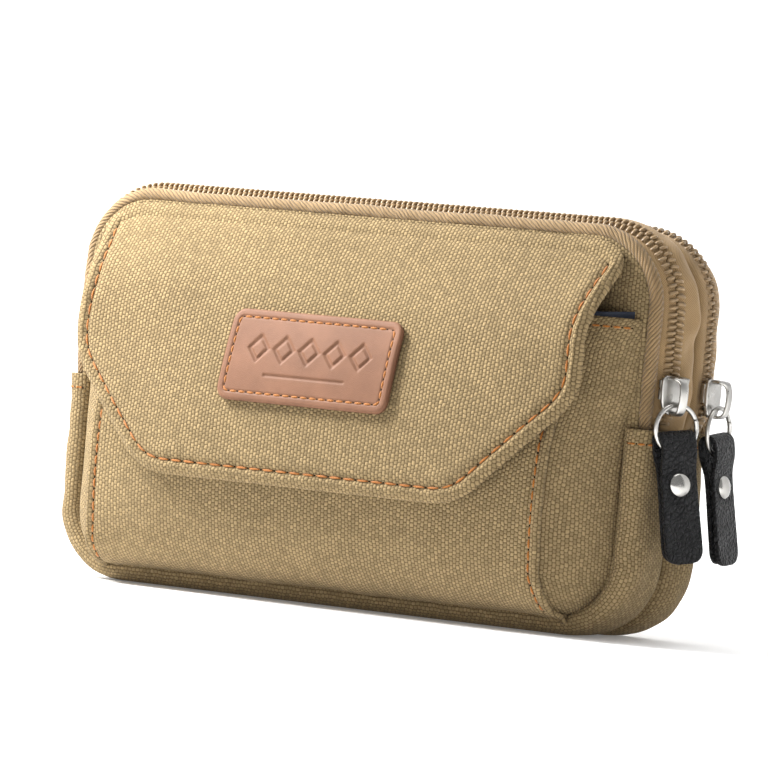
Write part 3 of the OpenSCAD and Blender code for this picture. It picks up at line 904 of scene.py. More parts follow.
class POUCH_OT_panels(PieceOperator, bpy.types.Operator):
    """Front and rear canvas panels, their padding, and the divider"""

    bl_idname = "pouch.panels"
    bl_label = "Panels"

    def build(self, context):
        front = panel_disc("front_panel_cloth", FRONT, -1, -1.0, "canvas", CANVAS_T, 0.5)
        settle(front, "bag", "canvas", "front_panel")
        rear = panel_disc("rear_panel_cloth", BACK - 0.6, 1, -1.0, "canvas", CANVAS_T, 0.6)
        settle(rear, "bag", "canvas", "rear_panel")
        pads = {"front_padding": (FRONT + CANVAS_T + 0.1, -1), "rear_padding": (BACK - CANVAS_T - 0.7, 1)}
        for node, (y, forward) in pads.items():
            pad = panel_disc(node + "_sheet", y, forward, -3.0, "foam", 1.0, 0.4)
            settle(pad, "bag", "foam", node)
        divider = panel_disc("divider_cloth", DIVIDER, -1, -0.8, "lining", 0.4, 0.0)
        settle(divider, "bag", "lining", "divider_panel")


class POUCH_OT_gussets(PieceOperator, bpy.types.Operator):
    """Lower canvas bands of both compartments"""

    bl_idname = "pouch.gussets"
    bl_label = "Gussets"

    def build(self, context):
        front_side = [(-4.6, FRONT + 1.4), (-4.3, FRONT - 0.6), (-2.4, FRONT - 2.1), (0.8, FRONT - 1.6),
                      (2.8, FRONT + 1.6), (3.2, FRONT + 7.0), (2.6, DIVIDER - 3.2), (1.0, DIVIDER - 0.9),
                      (-1.6, DIVIDER - 0.3)]
        front_base = [(-4.4, FRONT + 1.4), (-4.1, FRONT - 1.2), (-2.2, FRONT - 3.6), (0.9, FRONT - 2.6),
                      (1.9, FRONT + 1.2), (1.95, FRONT + 6.0), (1.9, DIVIDER - 3.4), (0.8, DIVIDER - 0.9),
                      (-1.6, DIVIDER - 0.3)]
        rear_side = [(-1.6, DIVIDER + 0.3), (1.0, DIVIDER + 0.9), (2.8, DIVIDER + 3.4), (3.6, DIVIDER + 8.0),
                     (3.0, BACK - 4.0), (1.4, BACK - 1.0), (-0.6, BACK + 0.1), (-3.6, BACK - 0.4)]
        rear_base = [(-1.6, DIVIDER + 0.3), (0.8, DIVIDER + 0.9), (1.9, DIVIDER + 3.6), (1.95, DIVIDER + 8.0),
                     (1.8, BACK - 3.6), (0.9, BACK - 1.0), (-0.8, BACK + 0.1), (-3.6, BACK - 0.4)]
        bands = (("front", front_side, front_base, 1.0), ("rear", rear_side, rear_base, 4.0))
        for which, side, base, seed in bands:
            points, uv = strip_points(False, side, base, count=560, ripple=0.45, flare=0.9, seed=seed)
            band = thicken(grid_object(which + "_gusset_cloth", points, uv, "canvas", flip=True), 1.5)
            settle(band, "bag", "canvas", which + "_gusset")
            spacing = np.linalg.norm(points[1, 12] - points[0, 12])
            row = round(3.8 / spacing)
            for end, path in (("left", points[row, 3:-3]), ("right", points[-1 - row, 3:-3])):
                out = -1.0 if end == "left" else 1.0
                along = np.gradient(path, axis=0)
                normal = np.cross(along, [0.0, 0.0, out])
                normal *= np.sign(normal[:, :1] * out)
                stitch_line(f"{which}_gusset_{end}_stitching", path, unit_rows(normal), "bag", "canvas",
                            pitch=HEM_PITCH)


class POUCH_OT_pipings(PieceOperator, bpy.types.Operator):
    """Rolled twill pipings over the top of the bag"""

    bl_idname = "pouch.pipings"
    bl_label = "Pipings"

    def build(self, context):
        for which, y in (("front", FRONT + PIPING_R + 0.1), ("rear", BACK - PIPING_R - 0.1)):
            run = outline_run(True, 640)
            angles = np.linspace(0, 2 * math.pi, 18, endpoint=False)
            length = run[:, 4:5]
            uneven = 0.04 * wave(length, length * 0, 11.0) + 0.03 * wave(length, length * 0, 4.1)
            r = (PIPING_R + 0.22) * (1 + uneven)
            lean = 0.25 * wave(length, length * 0, 33.0, y)
            end = 1 - 0.25 * (1 - smooth(np.minimum(length, length[-1] - length) / 5.0))
            outwards = lean + r * end * np.cos(angles)[None]
            ys = y + r * end * np.sin(angles)[None] * (1 if which == "front" else -1)
            points = sweep(run, outwards, ys)
            around = np.linspace(0, 2 * math.pi * PIPING_R, 19)
            uv = np.stack(np.meshgrid(run[:, 4], around, indexing="ij"), -1)
            tube = grid_object(which + "_piping_roll", points, uv, "piping_twill", close_cols=True, caps=True,
                               flip=which == "rear")
            settle(tube, "bag", "piping_twill", which + "_piping")


def beside(chain, across, lift=0.0):
    """(outwards, y) of a point across a zip from its centre line, and lifted off its plane."""
    outwards, y, turn = chain
    a = math.radians(turn)
    return (outwards + across * math.sin(a) + lift * math.cos(a),
            y + across * math.cos(a) - lift * math.sin(a))


class POUCH_OT_tapes(PieceOperator, bpy.types.Operator):
    """Four twill zip tapes"""

    bl_idname = "pouch.tapes"
    bl_label = "Zip tapes"

    def build(self, context):
        for which, ripples in (("front", (0.05, 0.95)), ("rear", (0.05, 0.3))):
            chain = CHAIN[which]
            sunk = (chain[0] + TOP_SINK[which], chain[1], chain[2])
            sides = zip(self.sections(which, chain, False), self.sections(which, sunk, True))
            for part, (side, top), ripple in zip(("front", "rear"), sides, ripples):
                name = f"{which}_zip_{part}_tape"
                band = strip(name + "_cloth", True, side, top, "zip_tape", 0.55, ripple=ripple,
                             tuck=2.2, seed=3.0 + len(name))
                settle(band, "bag", "zip_tape", name)

    def sections(self, which, chain, top):
        """Sections of a zip's front and rear tape: from the piping or seam to under the coil, and on."""
        near, far = CHAIN_HALF - 2.0, CHAIN_HALF + 1.4
        out = chain[0]
        seam = 0.4 if top else 0.8
        if which == "front":
            bulge = (0.9, -0.6) if top else (2.8, 1.2)
            front = [(1.2, FRONT + 3.2), beside(chain, -far + 0.8), beside(chain, -near)]
            rear = [beside(chain, near), beside(chain, far), (out + bulge[0], DIVIDER - 2.8),
                    (out + bulge[1], DIVIDER - 1.0), (seam, DIVIDER - 0.4)]
        else:
            step, slope = (-0.9, -1.2) if top else (-1.0, -1.6)
            front = [(seam, DIVIDER + 0.4), (out + step, DIVIDER + 1.2), beside(chain, -far),
                     beside(chain, -near)]
            rear = [beside(chain, near), beside(chain, far), (out + slope, BACK - 3.6), (1.2, BACK - 2.6)]
        return front, rear


class POUCH_OT_coils(PieceOperator, bpy.types.Operator):
    """Two rows of nylon coil for each zip, one turn after another"""

    bl_idname = "pouch.coils"
    bl_label = "Zip coils"

    def build(self, context):
        pitch = sizes().coil / MM
        wire = 0.46
        steps, sides = 14, 6
        fine = outline_run(True, 1200)
        length = fine[-1, 4]
        turns = int(length / pitch) - 1
        first = 0.6
        s = np.linspace(first, first + turns * pitch, turns * steps + 1)
        for which in ("front", "rear"):
            for part, sign in (("front", -1), ("rear", 1)):
                phase = 2 * math.pi * (s - first) / pitch + (math.pi if sign > 0 else 0)
                across = sign * (1.10 + 0.92 * np.cos(phase))
                lift = 0.55 * np.sin(phase)
                slant = 0.28 * pitch * np.cos(phase)
                run_s = np.clip(s + slant, 0, length)
                run = np.stack([np.interp(run_s, fine[:, 4], fine[:, k]) for k in range(5)], 1)
                w = np.abs(run[:, 2]) ** SIDE_BLEND
                chain = CHAIN[which]
                turn = math.radians(chain[2])
                from_end = np.minimum(s, length - s)
                tucked = 2.2 * (1 - smooth(from_end / 7.0))
                out = (chain[0] + (1 - w) * TOP_SINK[which] + across * math.sin(turn) + lift * math.cos(turn)
                       - tucked)
                y = chain[1] + across * math.cos(turn) - lift * math.sin(turn)
                centre = np.stack([run[:, 0] + run[:, 2] * out, y, run[:, 1] + run[:, 3] * out], 1)
                tube = tube_points(centre, wire, sides)
                name = f"{which}_zip_{part}_coil"
                row = grid_object(name + "_turns", tube, no_uv(len(centre), sides), "zip_coil",
                                  close_cols=True, caps=True)
                settle(row, "bag", "zip_coil", name)


def tube_points(centre, radius, sides):
    """Rings of points round a path, carried along it without twisting."""
    tangent = unit_rows(np.gradient(centre, axis=0))
    side = np.cross(tangent[0], [0.3, 0.9, 0.2])
    rings = []
    for p, t in zip(centre, tangent):
        side = side - t * np.dot(side, t)
        side /= np.linalg.norm(side)
        up = np.cross(t, side)
        rings.append([p + radius * (math.cos(a) * side + math.sin(a) * up)
                      for a in np.linspace(0, 2 * math.pi, sides, endpoint=False)])
    return np.array(rings)


# ---------------------------------------------------------------- operators: pocket and flap

def pocket_surface(x, z):
    """Outer face of the pocket's front cloth: a cylinder that turns under at the bottom."""
    z = np.asarray(z, float)
    above = np.maximum(z, POCKET_BASE + POCKET_TURN) - FLAP_AXIS_Z
    upper = FLAP_AXIS_Y - np.sqrt(POCKET_R ** 2 - above ** 2)
    drop = np.clip((POCKET_BASE + POCKET_TURN - z) / POCKET_TURN, 0, 0.999)
    turn = POCKET_TURN * (1 - np.sqrt(1 - drop ** 2))
    full = upper - 0.85 * swell(x, z) * smooth((z - POCKET_BASE) / 16.0) - 1.2
    return soft_least(full + turn, FRONT - 1.6)


def fold_x(z):
    """Half width of the pocket's folded edge at height z."""
    y = pocket_surface(np.full_like(z, POCKET_HALF), z)
    front = FLAP_AXIS_Y - POCKET_R
    out = np.clip((y - front) / (FRONT - front), 0, 1)
    low = np.clip((POCKET_BASE + 12.0 - z) / 12.0, 0, 1)
    return POCKET_HALF + (POCKET_SEAM_HALF - POCKET_HALF) * out * (1 - 0.72 * smooth(low))


def pocket_heights(count):
    """Heights down the pocket's front, closer together where it turns under."""
    return POCKET_TOP - (POCKET_TOP - POCKET_BASE) * np.sin(np.linspace(0, math.pi / 2, count)) ** 1.1


class POUCH_OT_pocket(PieceOperator, bpy.types.Operator):
    """Gusseted front pocket with its lining and stitching"""

    bl_idname = "pouch.pocket"
    bl_label = "Front pocket"

    def build(self, context):
        z = pocket_heights(110)
        half = fold_x(z)
        hem = sizes().pocket_hem / MM
        insets = np.array([0.0, 0.35, 0.9, 1.7, hem - 0.3, hem, hem + 0.3, hem + 1.0, hem + 2.4,
                           hem + 4.5])
        lifts = np.array([-0.9, 0.0, 0.40, 0.36, -0.10, -0.40, -0.10, 0.10, 0.18, 0.05])
        share = np.linspace(0, 1, 90)[1:-1]
        left = -half[:, None] - 0.5 + insets[None]
        right = half[:, None] + 0.5 - insets[None, ::-1]
        middle = left[:, -1:] + (right[:, :1] - left[:, -1:]) * share[None]
        x = np.concatenate([left, middle, right], 1)
        lift = np.concatenate([lifts, np.zeros(len(share)), lifts[::-1]])[None] * np.ones_like(x)
        zz = np.broadcast_to(z[:, None], x.shape)
        lift = lift + 0.18 * wave(x, zz, 30.0, 5.0)
        base, normal = surface_frame(pocket_surface, x, zz)
        points = base + normal * lift[..., None]
        v = -run_lengths(np.stack([pocket_surface(0 * z, z), z], 1))
        uv = np.stack([x, np.broadcast_to(v[:, None], x.shape)], -1)
        front = thicken(grid_object("pocket_front_cloth", points, uv, "canvas"), 1.4)
        settle(front, "bag", "canvas", "pocket_front")
        for side, sign in (("left", -1), ("right", 1)):
            self.gusset(side, sign, z, half)
            self.fold_stitching(side, sign, z, half, hem)
        self.lining(z, half)

    def seam(self, z):
        """Where the gusset meets the front panel: down the side, then round the lower corner."""
        r = 17.0
        t = np.clip((POCKET_BASE + r - z) / r, 0, 1)
        corner = r * (1 - np.sqrt(1 - np.minimum(t, 0.9999) ** 2)) * 0.85
        x = POCKET_SEAM_HALF - 0.4 + 2.6 * smooth((z - ZIP_END) / 8.0) - corner
        return np.stack([x, np.full_like(z, FRONT + 0.4), z], 1)

    def gusset(self, side, sign, z, half):
        fold = np.stack([half - 0.9, pocket_surface(half, z) + 1.5, z], 1)
        seam = self.seam(z)
        t = np.linspace(0, 1, 24)
        rows = fold[:, None] * (1 - t[None, :, None]) + seam[:, None] * t[None, :, None]
        span = np.linalg.norm(seam - fold, axis=1)[:, None]
        along = seam - fold
        outward = np.stack([-along[:, 1], along[:, 0], 0 * z], 1)
        outward *= np.sign(outward[:, :1]) / np.maximum(np.linalg.norm(outward, axis=1, keepdims=True), 1e-6)
        belly = np.sin(math.pi * t ** 1.3)[None] * np.minimum(1.7, 0.10 * span)
        belly = belly + 0.35 * np.sin(math.pi * t)[None] * wave(span * t[None], z[:, None], 24.0, 2.0 * sign)
        rows = rows + outward[:, None] * belly[..., None]
        rows = rows * np.array([sign, 1, 1])
        v = -run_lengths(fold)
        uv = np.stack([span * t[None] * sign, np.broadcast_to(v[:, None], rows.shape[:2])], -1)
        cloth = grid_object(f"pocket_gusset_{side}_cloth", rows, uv, "canvas", flip=sign < 0)
        settle(thicken(cloth, 1.3), "bag", "canvas", f"pocket_gusset_{side}")
        hem_row = 3
        path = rows[hem_row, 1:-1]
        normal = outward[hem_row] * np.array([sign, 1, 1])
        stitch_line(f"pocket_gusset_{side}_stitching", path, np.tile(normal, (len(path), 1)), "bag", "canvas",
                    pitch=HEM_PITCH)

    def fold_stitching(self, side, sign, z, half, hem):
        upper_end = 72.0
        zz = np.linspace(upper_end, POCKET_BASE + 0.8, 160)
        x = sign * (np.interp(-zz, -z, half) + 0.5 - hem)
        base, normal = surface_frame(pocket_surface, x, zz)
        stitch_line(f"pocket_{side}_stitching", base + normal * -0.12, normal, "bag", "canvas")

    def lining(self, z, half):
        t = np.linspace(0, 1, 60)
        inner = half[:, None] - 2.0
        x = -inner + 2 * inner * t[None]
        zz = np.broadcast_to(z[:, None], x.shape)
        base, normal = surface_frame(pocket_surface, x, zz)
        points = base - normal * 2.0
        seam = self.seam(z)
        left = seam * np.array([-1, 1, 1]) + np.array([1.6, 0.1, 0])
        right = seam + np.array([-1.6, 0.1, 0])
        points = np.concatenate([left[:, None], points, right[:, None]], 1)
        points[:, :, 2] += 1.9 * smooth((points[:, :, 2] - 70.0) / 10.0)
        v = run_lengths(np.stack([0 * z, z], 1))
        uv = np.stack(np.broadcast_arrays(np.linspace(-80, 80, points.shape[1])[None], v[:, None]), -1)
        cloth = grid_object("pocket_lining_cloth", points, uv, "lining")
        settle(thicken(cloth, LINING_T), "bag", "lining", "pocket_lining")


class POUCH_OT_flap(PieceOperator, bpy.types.Operator):
    """Flap with turned edge, lining, hook patch and stitching, and the loop patch under it"""

    bl_idname = "pouch.flap"
    bl_label = "Flap"
    CORNER_REACH = 10

    def build(self, context):
        hem = sizes().flap_hem / MM
        pitch = sizes().flap_stitch / MM
        loop = flap_outline(520)
        centre = np.array([0.0, 66.0])
        profile = hem_profile(hem, FLAP_T)
        steps = 34
        no_gathers = 99.0
        rings = edge_rings(loop, profile[:, 0], centre, steps, self.CORNER_REACH)
        lifts = np.concatenate([profile[:, 1], np.zeros(steps)])[:, None] * np.ones(rings.shape[:2])
        inset = np.concatenate([profile[:, 0], np.full(steps, no_gathers)])
        inset[:3] = no_gathers
        near_root = smooth((rings[..., 1] - 92.0) / 5.0)
        lifts = lifts * (1 - 0.7 * near_root)
        lifts = lifts + puckers(loop, inset, hem, pitch) * (1 - near_root)
        cloth = pad_object("flap_cloth", rings, lifts[..., None], flap_surface, "canvas", flap_arc)
        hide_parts("flap_canvas")
        self.hinge(cloth)
        self.lining(loop, centre, hem)
        self.stitching(loop, hem, pitch)
        self.patches()

    def hinge(self, obj):
        """Bakes the cloth's placing into its points."""
        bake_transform(obj)

    def lining(self, loop, centre, hem):
        insets = [hem + 1.6, hem + 2.2, hem + 4.0]
        rings = edge_rings(loop, insets, centre, 30, self.CORNER_REACH)
        lifts = np.full(rings.shape[:2], -FLAP_T - 0.15)[..., None]
        cloth = pad_object("flap_lining_cloth", rings, lifts, flap_surface, "lining", flap_arc)
        thicken(cloth, 0.3)
        bpy.context.view_layer.objects.active = cloth
        bpy.ops.object.modifier_apply(modifier="thickness")
        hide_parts("flap_lining")
        self.hinge(cloth)

    def stitching(self, loop, hem, pitch):
        inner = loop - loop_normals(loop, self.CORNER_REACH) * hem
        order = np.concatenate([inner, inner[:1]])
        keep = order[order[:, 1] < FLAP_TOP - 6.0]
        base, normal = surface_frame(flap_surface, keep[:, 0], keep[:, 1])
        stitch_line("flap_stitching", base + normal * -0.32, normal, "flap", "canvas", pitch)

    def patches(self):
        """The hook patch on the flap and the loop patch on the bag, both under the flap's face."""
        low, high = node_box("hook_patch")
        for name, lift, body, finish in (("hook_patch", -4.35, "flap", "hook_tape"),
                                         ("loop_patch", -4.85, "bag", "loop_tape")):
            half = high[0]
            x = np.linspace(-half, half, 40)
            z = np.linspace(low[2], high[2], 14)
            xx, zz = np.meshgrid(x, z, indexing="ij")
            base, normal = surface_frame(flap_surface, xx, zz)
            points = base + normal * lift
            obj = grid_object(name + "_tape", points, np.stack([xx, zz], -1), finish, flip=True)
            settle(thicken(obj, 1.0, 1.0 if body == "flap" else -1.0), body, finish, name)


# ---------------------------------------------------------------- operators: label, loops, linings

def rounded_rect_ring(half_w, half_h, r, count):
    """count points round a rectangle with rounded corners, clockwise from the top's middle."""
    r = min(r, half_w, half_h)
    points = []
    per = count // 4
    for k, (sx, sz) in enumerate(((1, 1), (1, -1), (-1, -1), (-1, 1))):
        cx, cz = sx * (half_w - r), sz * (half_h - r)
        a0 = math.pi / 2 - k * math.pi / 2
        arc = [(cx + r * math.cos(a0 - t), cz + r * math.sin(a0 - t))
               for t in np.linspace(0, math.pi / 2, 9)]
        nxt = ((1, -1), (-1, -1), (-1, 1), (1, 1))[k]
        ex, ez = nxt[0] * (half_w - r), nxt[1] * (half_h - r)
        a1 = a0 - math.pi / 2
        end = (ex + r * math.cos(a1), ez + r * math.sin(a1))
        straight = [tuple(np.array(arc[-1]) * (1 - t) + np.array(end) * t)
                    for t in np.linspace(0, 1, per - 8 + 1)[1:-1]]
        points += arc + straight
    return np.array(points)


def rhombus(x, z, cx, cz, half_w, half_h):
    """1 inside a rhombus, falling to 0 just outside it."""
    d = np.abs(x - cx) / half_w + np.abs(z - cz) / half_h
    return smooth((1.12 - d) / 0.24)


class POUCH_OT_label(PieceOperator, bpy.types.Operator):
    """Leather label with a pressed border, a plain pressed ornament and stitching"""

    bl_idname = "pouch.label"
    bl_label = "Leather label"
    HEM = 2.1

    def build(self, context):
        half_w = LABEL_HIGH[0]
        half_h = (LABEL_HIGH[2] - LABEL_LOW[2]) / 2
        mid = (LABEL_HIGH[2] + LABEL_LOW[2]) / 2
        thick = 1.7
        edge = [(0.5, 0.0), (0.0, 0.25), (0.0, thick - 0.6), (0.12, thick - 0.25), (0.45, thick - 0.04)]
        insets = [*np.arange(0.75, half_h - 0.1, 0.22), half_h - 0.01]
        profile = edge + [(i, thick) for i in insets]
        rings, lifts = [], []
        for inset, lift in profile:
            ring = rounded_rect_ring(half_w - inset, half_h - inset, max(3.2 - inset, 0.02), 420)
            x, z = ring[:, 0], ring[:, 1]
            rings.append(np.stack([x, z + mid], 1))
            lifts.append(np.full(len(x), lift) - self.pressed(x, z, inset) * (lift >= thick))
        rings, lifts = np.array(rings), np.array(lifts)[..., None]
        plate = pad_object("label_leather_plate", rings, lifts, self.under, "label_leather")
        weld_points(plate, 0.12)
        settle(plate, "flap", "label_leather", "leather_label")
        ring = rounded_rect_ring(half_w - self.HEM, half_h - self.HEM, 1.4, 420)
        ring = np.vstack([ring, ring[:1]])
        base, normal = surface_frame(self.under, ring[:, 0], ring[:, 1] + mid)
        stitch_line("label_stitching", base + normal * (thick - 0.28), normal, "flap", "label_leather",
                    pitch=2.65)

    def under(self, x, z):
        return flap_surface(x, z) - 0.1

    def pressed(self, x, z, inset):
        """Depth pressed into the leather at a point."""
        past_hem = inset - self.HEM
        border = 0.34 * math.exp(-(past_hem / 0.34) ** 2) + 0.10 * smooth(past_hem / 0.8)
        lozenges = sum(rhombus(x, z, cx, 1.8, 3.3, 3.6) - rhombus(x, z, cx, 1.8, 2.1, 2.3)
                       for cx in (-15.0, -7.5, 0.0, 7.5, 15.0))
        rule = smooth((0.5 - np.abs(z + 4.8)) / 0.25) * smooth((12.0 - np.abs(x)) / 0.4)
        return border + 0.36 * np.clip(lozenges, 0, 1) + 0.30 * rule


class POUCH_OT_belt_loops(PieceOperator, bpy.types.Operator):
    """Two canvas belt loops on the back, with sewn ends"""

    bl_idname = "pouch.belt_loops"
    bl_label = "Belt loops"

    def build(self, context):
        for side in ("left", "right"):
            low, high = node_box(f"belt_loop_{side}")
            t = 1.6
            y0, y1 = BACK + 0.9, high[1] - t / 2
            zs = (low[2], low[2] + 9.0, high[2] - 9.0, high[2])
            path = np.array([(y0, zs[0]), (y0, zs[1]), (y1 - 0.6, zs[1] + 3.4), (y1, (zs[1] + zs[2]) / 2),
                             (y1 - 0.6, zs[2] - 3.4), (y0, zs[2]), (y0, zs[3])])
            count = 110
            path = resample(rounded_run(path, 3), count)
            out = -path_sides(path)
            half = (high[0] - low[0]) / 2
            section = [(half - 0.5 + 0.5 * math.cos(a), (t / 2) * math.sin(a))
                       for a in np.linspace(-1.5, 1.5, 7)]
            section = section + [(-w, h) for w, h in section[::-1]]
            section = np.array(section)
            middle = (low[0] + high[0]) / 2
            end = smooth(np.minimum(np.arange(count), np.arange(count)[::-1]) / 2.0)
            rows = []
            for p, n, e in zip(path, out, end):
                h = section[:, 1] * (0.6 + 0.4 * e)
                rows.append(np.stack([middle + section[:, 0], p[0] + n[0] * h, p[1] + n[1] * h], 1))
            points = np.array(rows)
            s = run_lengths(path)
            around = run_lengths(section)
            around = np.append(around, around[-1] + 2 * half)
            uv = np.stack(np.meshgrid(s, around, indexing="ij")[::-1], -1)
            strap = grid_object(f"belt_loop_{side}_strap", points, uv, "canvas", close_cols=True, caps=True)
            settle(strap, "bag", "canvas", f"belt_loop_{side}")
            for where, z0 in (("low", zs[0] + 1.5), ("high", zs[3] - 7.5)):
                self.sewn_box(side, where, middle, half - 2.2, z0, 6.0, y0 + t / 2)

    def sewn_box(self, side, where, middle, half, z0, height, y):
        """A box of stitches with a cross in it."""
        count = 400
        corners = np.array([(-half, 0), (half, 0), (half, height), (-half, height), (-half, 0),
                            (half, height), (half, 0), (-half, height)])
        path = resample(corners, count)
        path = np.stack([middle + path[:, 0], np.full(count, y), z0 + path[:, 1]], 1)
        backwards = np.tile([0.0, 1.0, 0.0], (count, 1))
        stitch_line(f"belt_loop_{side}_{where}_stitching", path, backwards, "bag", "canvas",
                    pitch=2.4, holes=False)


class POUCH_OT_linings(PieceOperator, bpy.types.Operator):
    """Linings of both compartments: two sheets and the band between them"""

    bl_idname = "pouch.linings"
    bl_label = "Linings"

    def build(self, context):
        spans = {"front": (FRONT + CANVAS_T + 1.9, DIVIDER - 0.9),
                 "rear": (DIVIDER + 0.9, BACK - CANVAS_T - 2.4)}
        inside = -3.4
        for which, (y0, y1) in spans.items():
            front = panel_disc(which + "_lining_cloth", y0, 1, inside, "lining", LINING_T, 0.0)
            back = panel_disc("lining_sheet", y1, -1, inside, "lining", LINING_T, 0.0)
            section = [(inside, y0), (inside + 1.0, (y0 + y1) / 2), (inside, y1)]
            band = strip("lining_band", False, section, section, "lining", LINING_T, count=300, ripple=0.2)
            join(front, [back, band])
            settle(front, "bag", "lining", which + "_lining")


def join(target, others):
    """Joins finished meshes into one object, with their modifiers applied."""
    for obj in [target, *others]:
        bpy.context.view_layer.objects.active = obj
        for modifier in list(obj.modifiers):
            bpy.ops.object.modifier_apply(modifier=modifier.name)
    bpy.ops.object.select_all(action="DESELECT")
    for obj in [target, *others]:
        obj.select_set(True)
    bpy.context.view_layer.objects.active = target
    bpy.ops.object.join()


# ---------------------------------------------------------------- operators: sliders and pulls

def slider_frame(which):
    """Placing of a slider: its X is outwards, Y across the chain and Z up. In metres."""
    outwards, y, turn = CHAIN[which]
    place = Vector(((HALF_W + outwards) * MM, y * MM, SLIDER_Z * MM))
    return Matrix.Translation(place) @ Matrix.Rotation(-math.radians(turn), 4, "Z")


def placed(obj, matrix):
    """Moves a piece's points to where it belongs."""
    obj.data.transform(matrix)
    return obj


def plate_solid(name, outline, low, high, bevel, finish):
    """A flat plate with rounded edges: outline as (y, z), between two distances outwards."""
    loop = resample(np.vstack([outline, outline[:1]]), 97)[:-1]
    inward = -loop_normals(loop)
    mid = loop.mean(0)
    turn = np.linspace(0, math.pi / 2, 5)
    sections = [(bevel * (1 - math.sin(a)), low + bevel * (1 - math.cos(a))) for a in turn]
    sections += [(bevel * (1 - math.cos(a)), high - bevel * (1 - math.sin(a))) for a in turn]
    rings = [np.column_stack([np.full(len(loop), n), loop + inward * d]) for d, n in sections]
    small = mid + (loop - mid) * 0.02
    first = np.column_stack([np.full(len(loop), low), small])
    last = np.column_stack([np.full(len(loop), high), small])
    points = np.array([first, *rings, last])
    return grid_object(name, points, no_uv(len(points), len(loop)), finish, close_cols=True, caps=True)


class POUCH_OT_sliders(PieceOperator, bpy.types.Operator):
    """Zip sliders: two plates with flanges, and the crown that holds the ring"""

    bl_idname = "pouch.sliders"
    bl_label = "Sliders"

    def build(self, context):
        for which in ("front", "rear"):
            matrix = slider_frame(which)
            outline = np.array([(-2.6, 4.8), (2.6, 4.8), (3.7, 3.9), (3.8, 1.0), (3.6, -1.6), (2.7, -4.2),
                                (1.4, -4.8), (-1.4, -4.8), (-2.7, -4.2), (-3.6, -1.6), (-3.8, 1.0),
                                (-3.7, 3.9)])
            near, far, bevel = 1.5, 2.7, 0.35
            top = plate_solid(which + "_slider_plates", outline, near, far, bevel, "slider_nickel")
            under = plate_solid("under_plate", outline, -far, -near, bevel, "slider_nickel")
            parts = [under]
            rail_near, rail_far, rail_bevel = 0.75, 1.8, 0.15
            for sign in (-1, 1):
                rail = np.array([(3.2, 3.6), (3.8, 3.6), (3.8, -1.2), (3.2, -1.2)]) * np.array([sign, 1])
                rail = rail[::sign]
                for low, high in ((rail_near, rail_far), (-rail_far, -rail_near)):
                    parts.append(plate_solid("rail", rail, low, high, rail_bevel, "slider_nickel"))
            post = np.array([(-0.5, -2.0), (0.5, -2.0), (0.5, -4.4), (-0.5, -4.4)])
            parts.append(plate_solid("post", post, -1.6, 1.6, 0.1, "slider_nickel"))
            join(top, parts)
            settle(placed(top, matrix), which + "_slider", "slider_nickel", which + "_slider_body")
            crown = self.crown(which)
            settle(placed(crown, matrix), which + "_slider", "slider_nickel", which + "_slider_crown")

    def crown(self, which):
        """A metal strap that arches over the plate, wide on top and narrow where the ring hangs."""
        count, sides, squareness = 60, 20, 0.45
        t = np.linspace(0, 1, count)
        points = np.array([(2.4, 4.2), (4.4, 4.3), (6.0, 3.9), (6.75, 2.2), (6.85, 0.0), (6.6, -2.4),
                           (5.9, -4.1), (4.4, -4.75), (2.4, -4.3)])
        path = resample(rounded_run(points, 3), count)
        out = path_sides(path)
        half = 2.3 - 1.15 * smooth((t - 0.16) / 0.16) + 0.25 * smooth((t - 0.8) / 0.2)
        half_t = 0.50 - 0.08 * smooth((t - 0.2) / 0.3)
        angles = np.linspace(0, 2 * math.pi, sides, endpoint=False)
        circle = np.stack([np.cos(angles), np.sin(angles)], 1)
        square = np.sign(circle) * np.abs(circle) ** squareness
        rows = []
        for p, n, h, th in zip(path, out, half, half_t):
            lift = th * square[:, 1]
            rows.append(np.stack([p[0] + n[0] * lift, h * square[:, 0], p[1] + n[1] * lift], 1))
        return grid_object(which + "_slider_crown_loop", np.array(rows), no_uv(count, sides), "slider_nickel",
                           close_cols=True, caps=True)


# The ring and the pull, in mm along the slider's own axes. The lean and the turn are in degrees.
RING_R = 5.9
WINDOW_N = 4.7
RING_HINGE_Z = -2.2
PULL_W = 10.0
PULL_DROP = 29.0
PULL_LEAN = 6.5
PULL_TURN = 7.0
PIVOT_DROP = 2 * RING_R - (RING_R - math.sqrt(RING_R ** 2 - PULL_W ** 2 / 4)) / 2


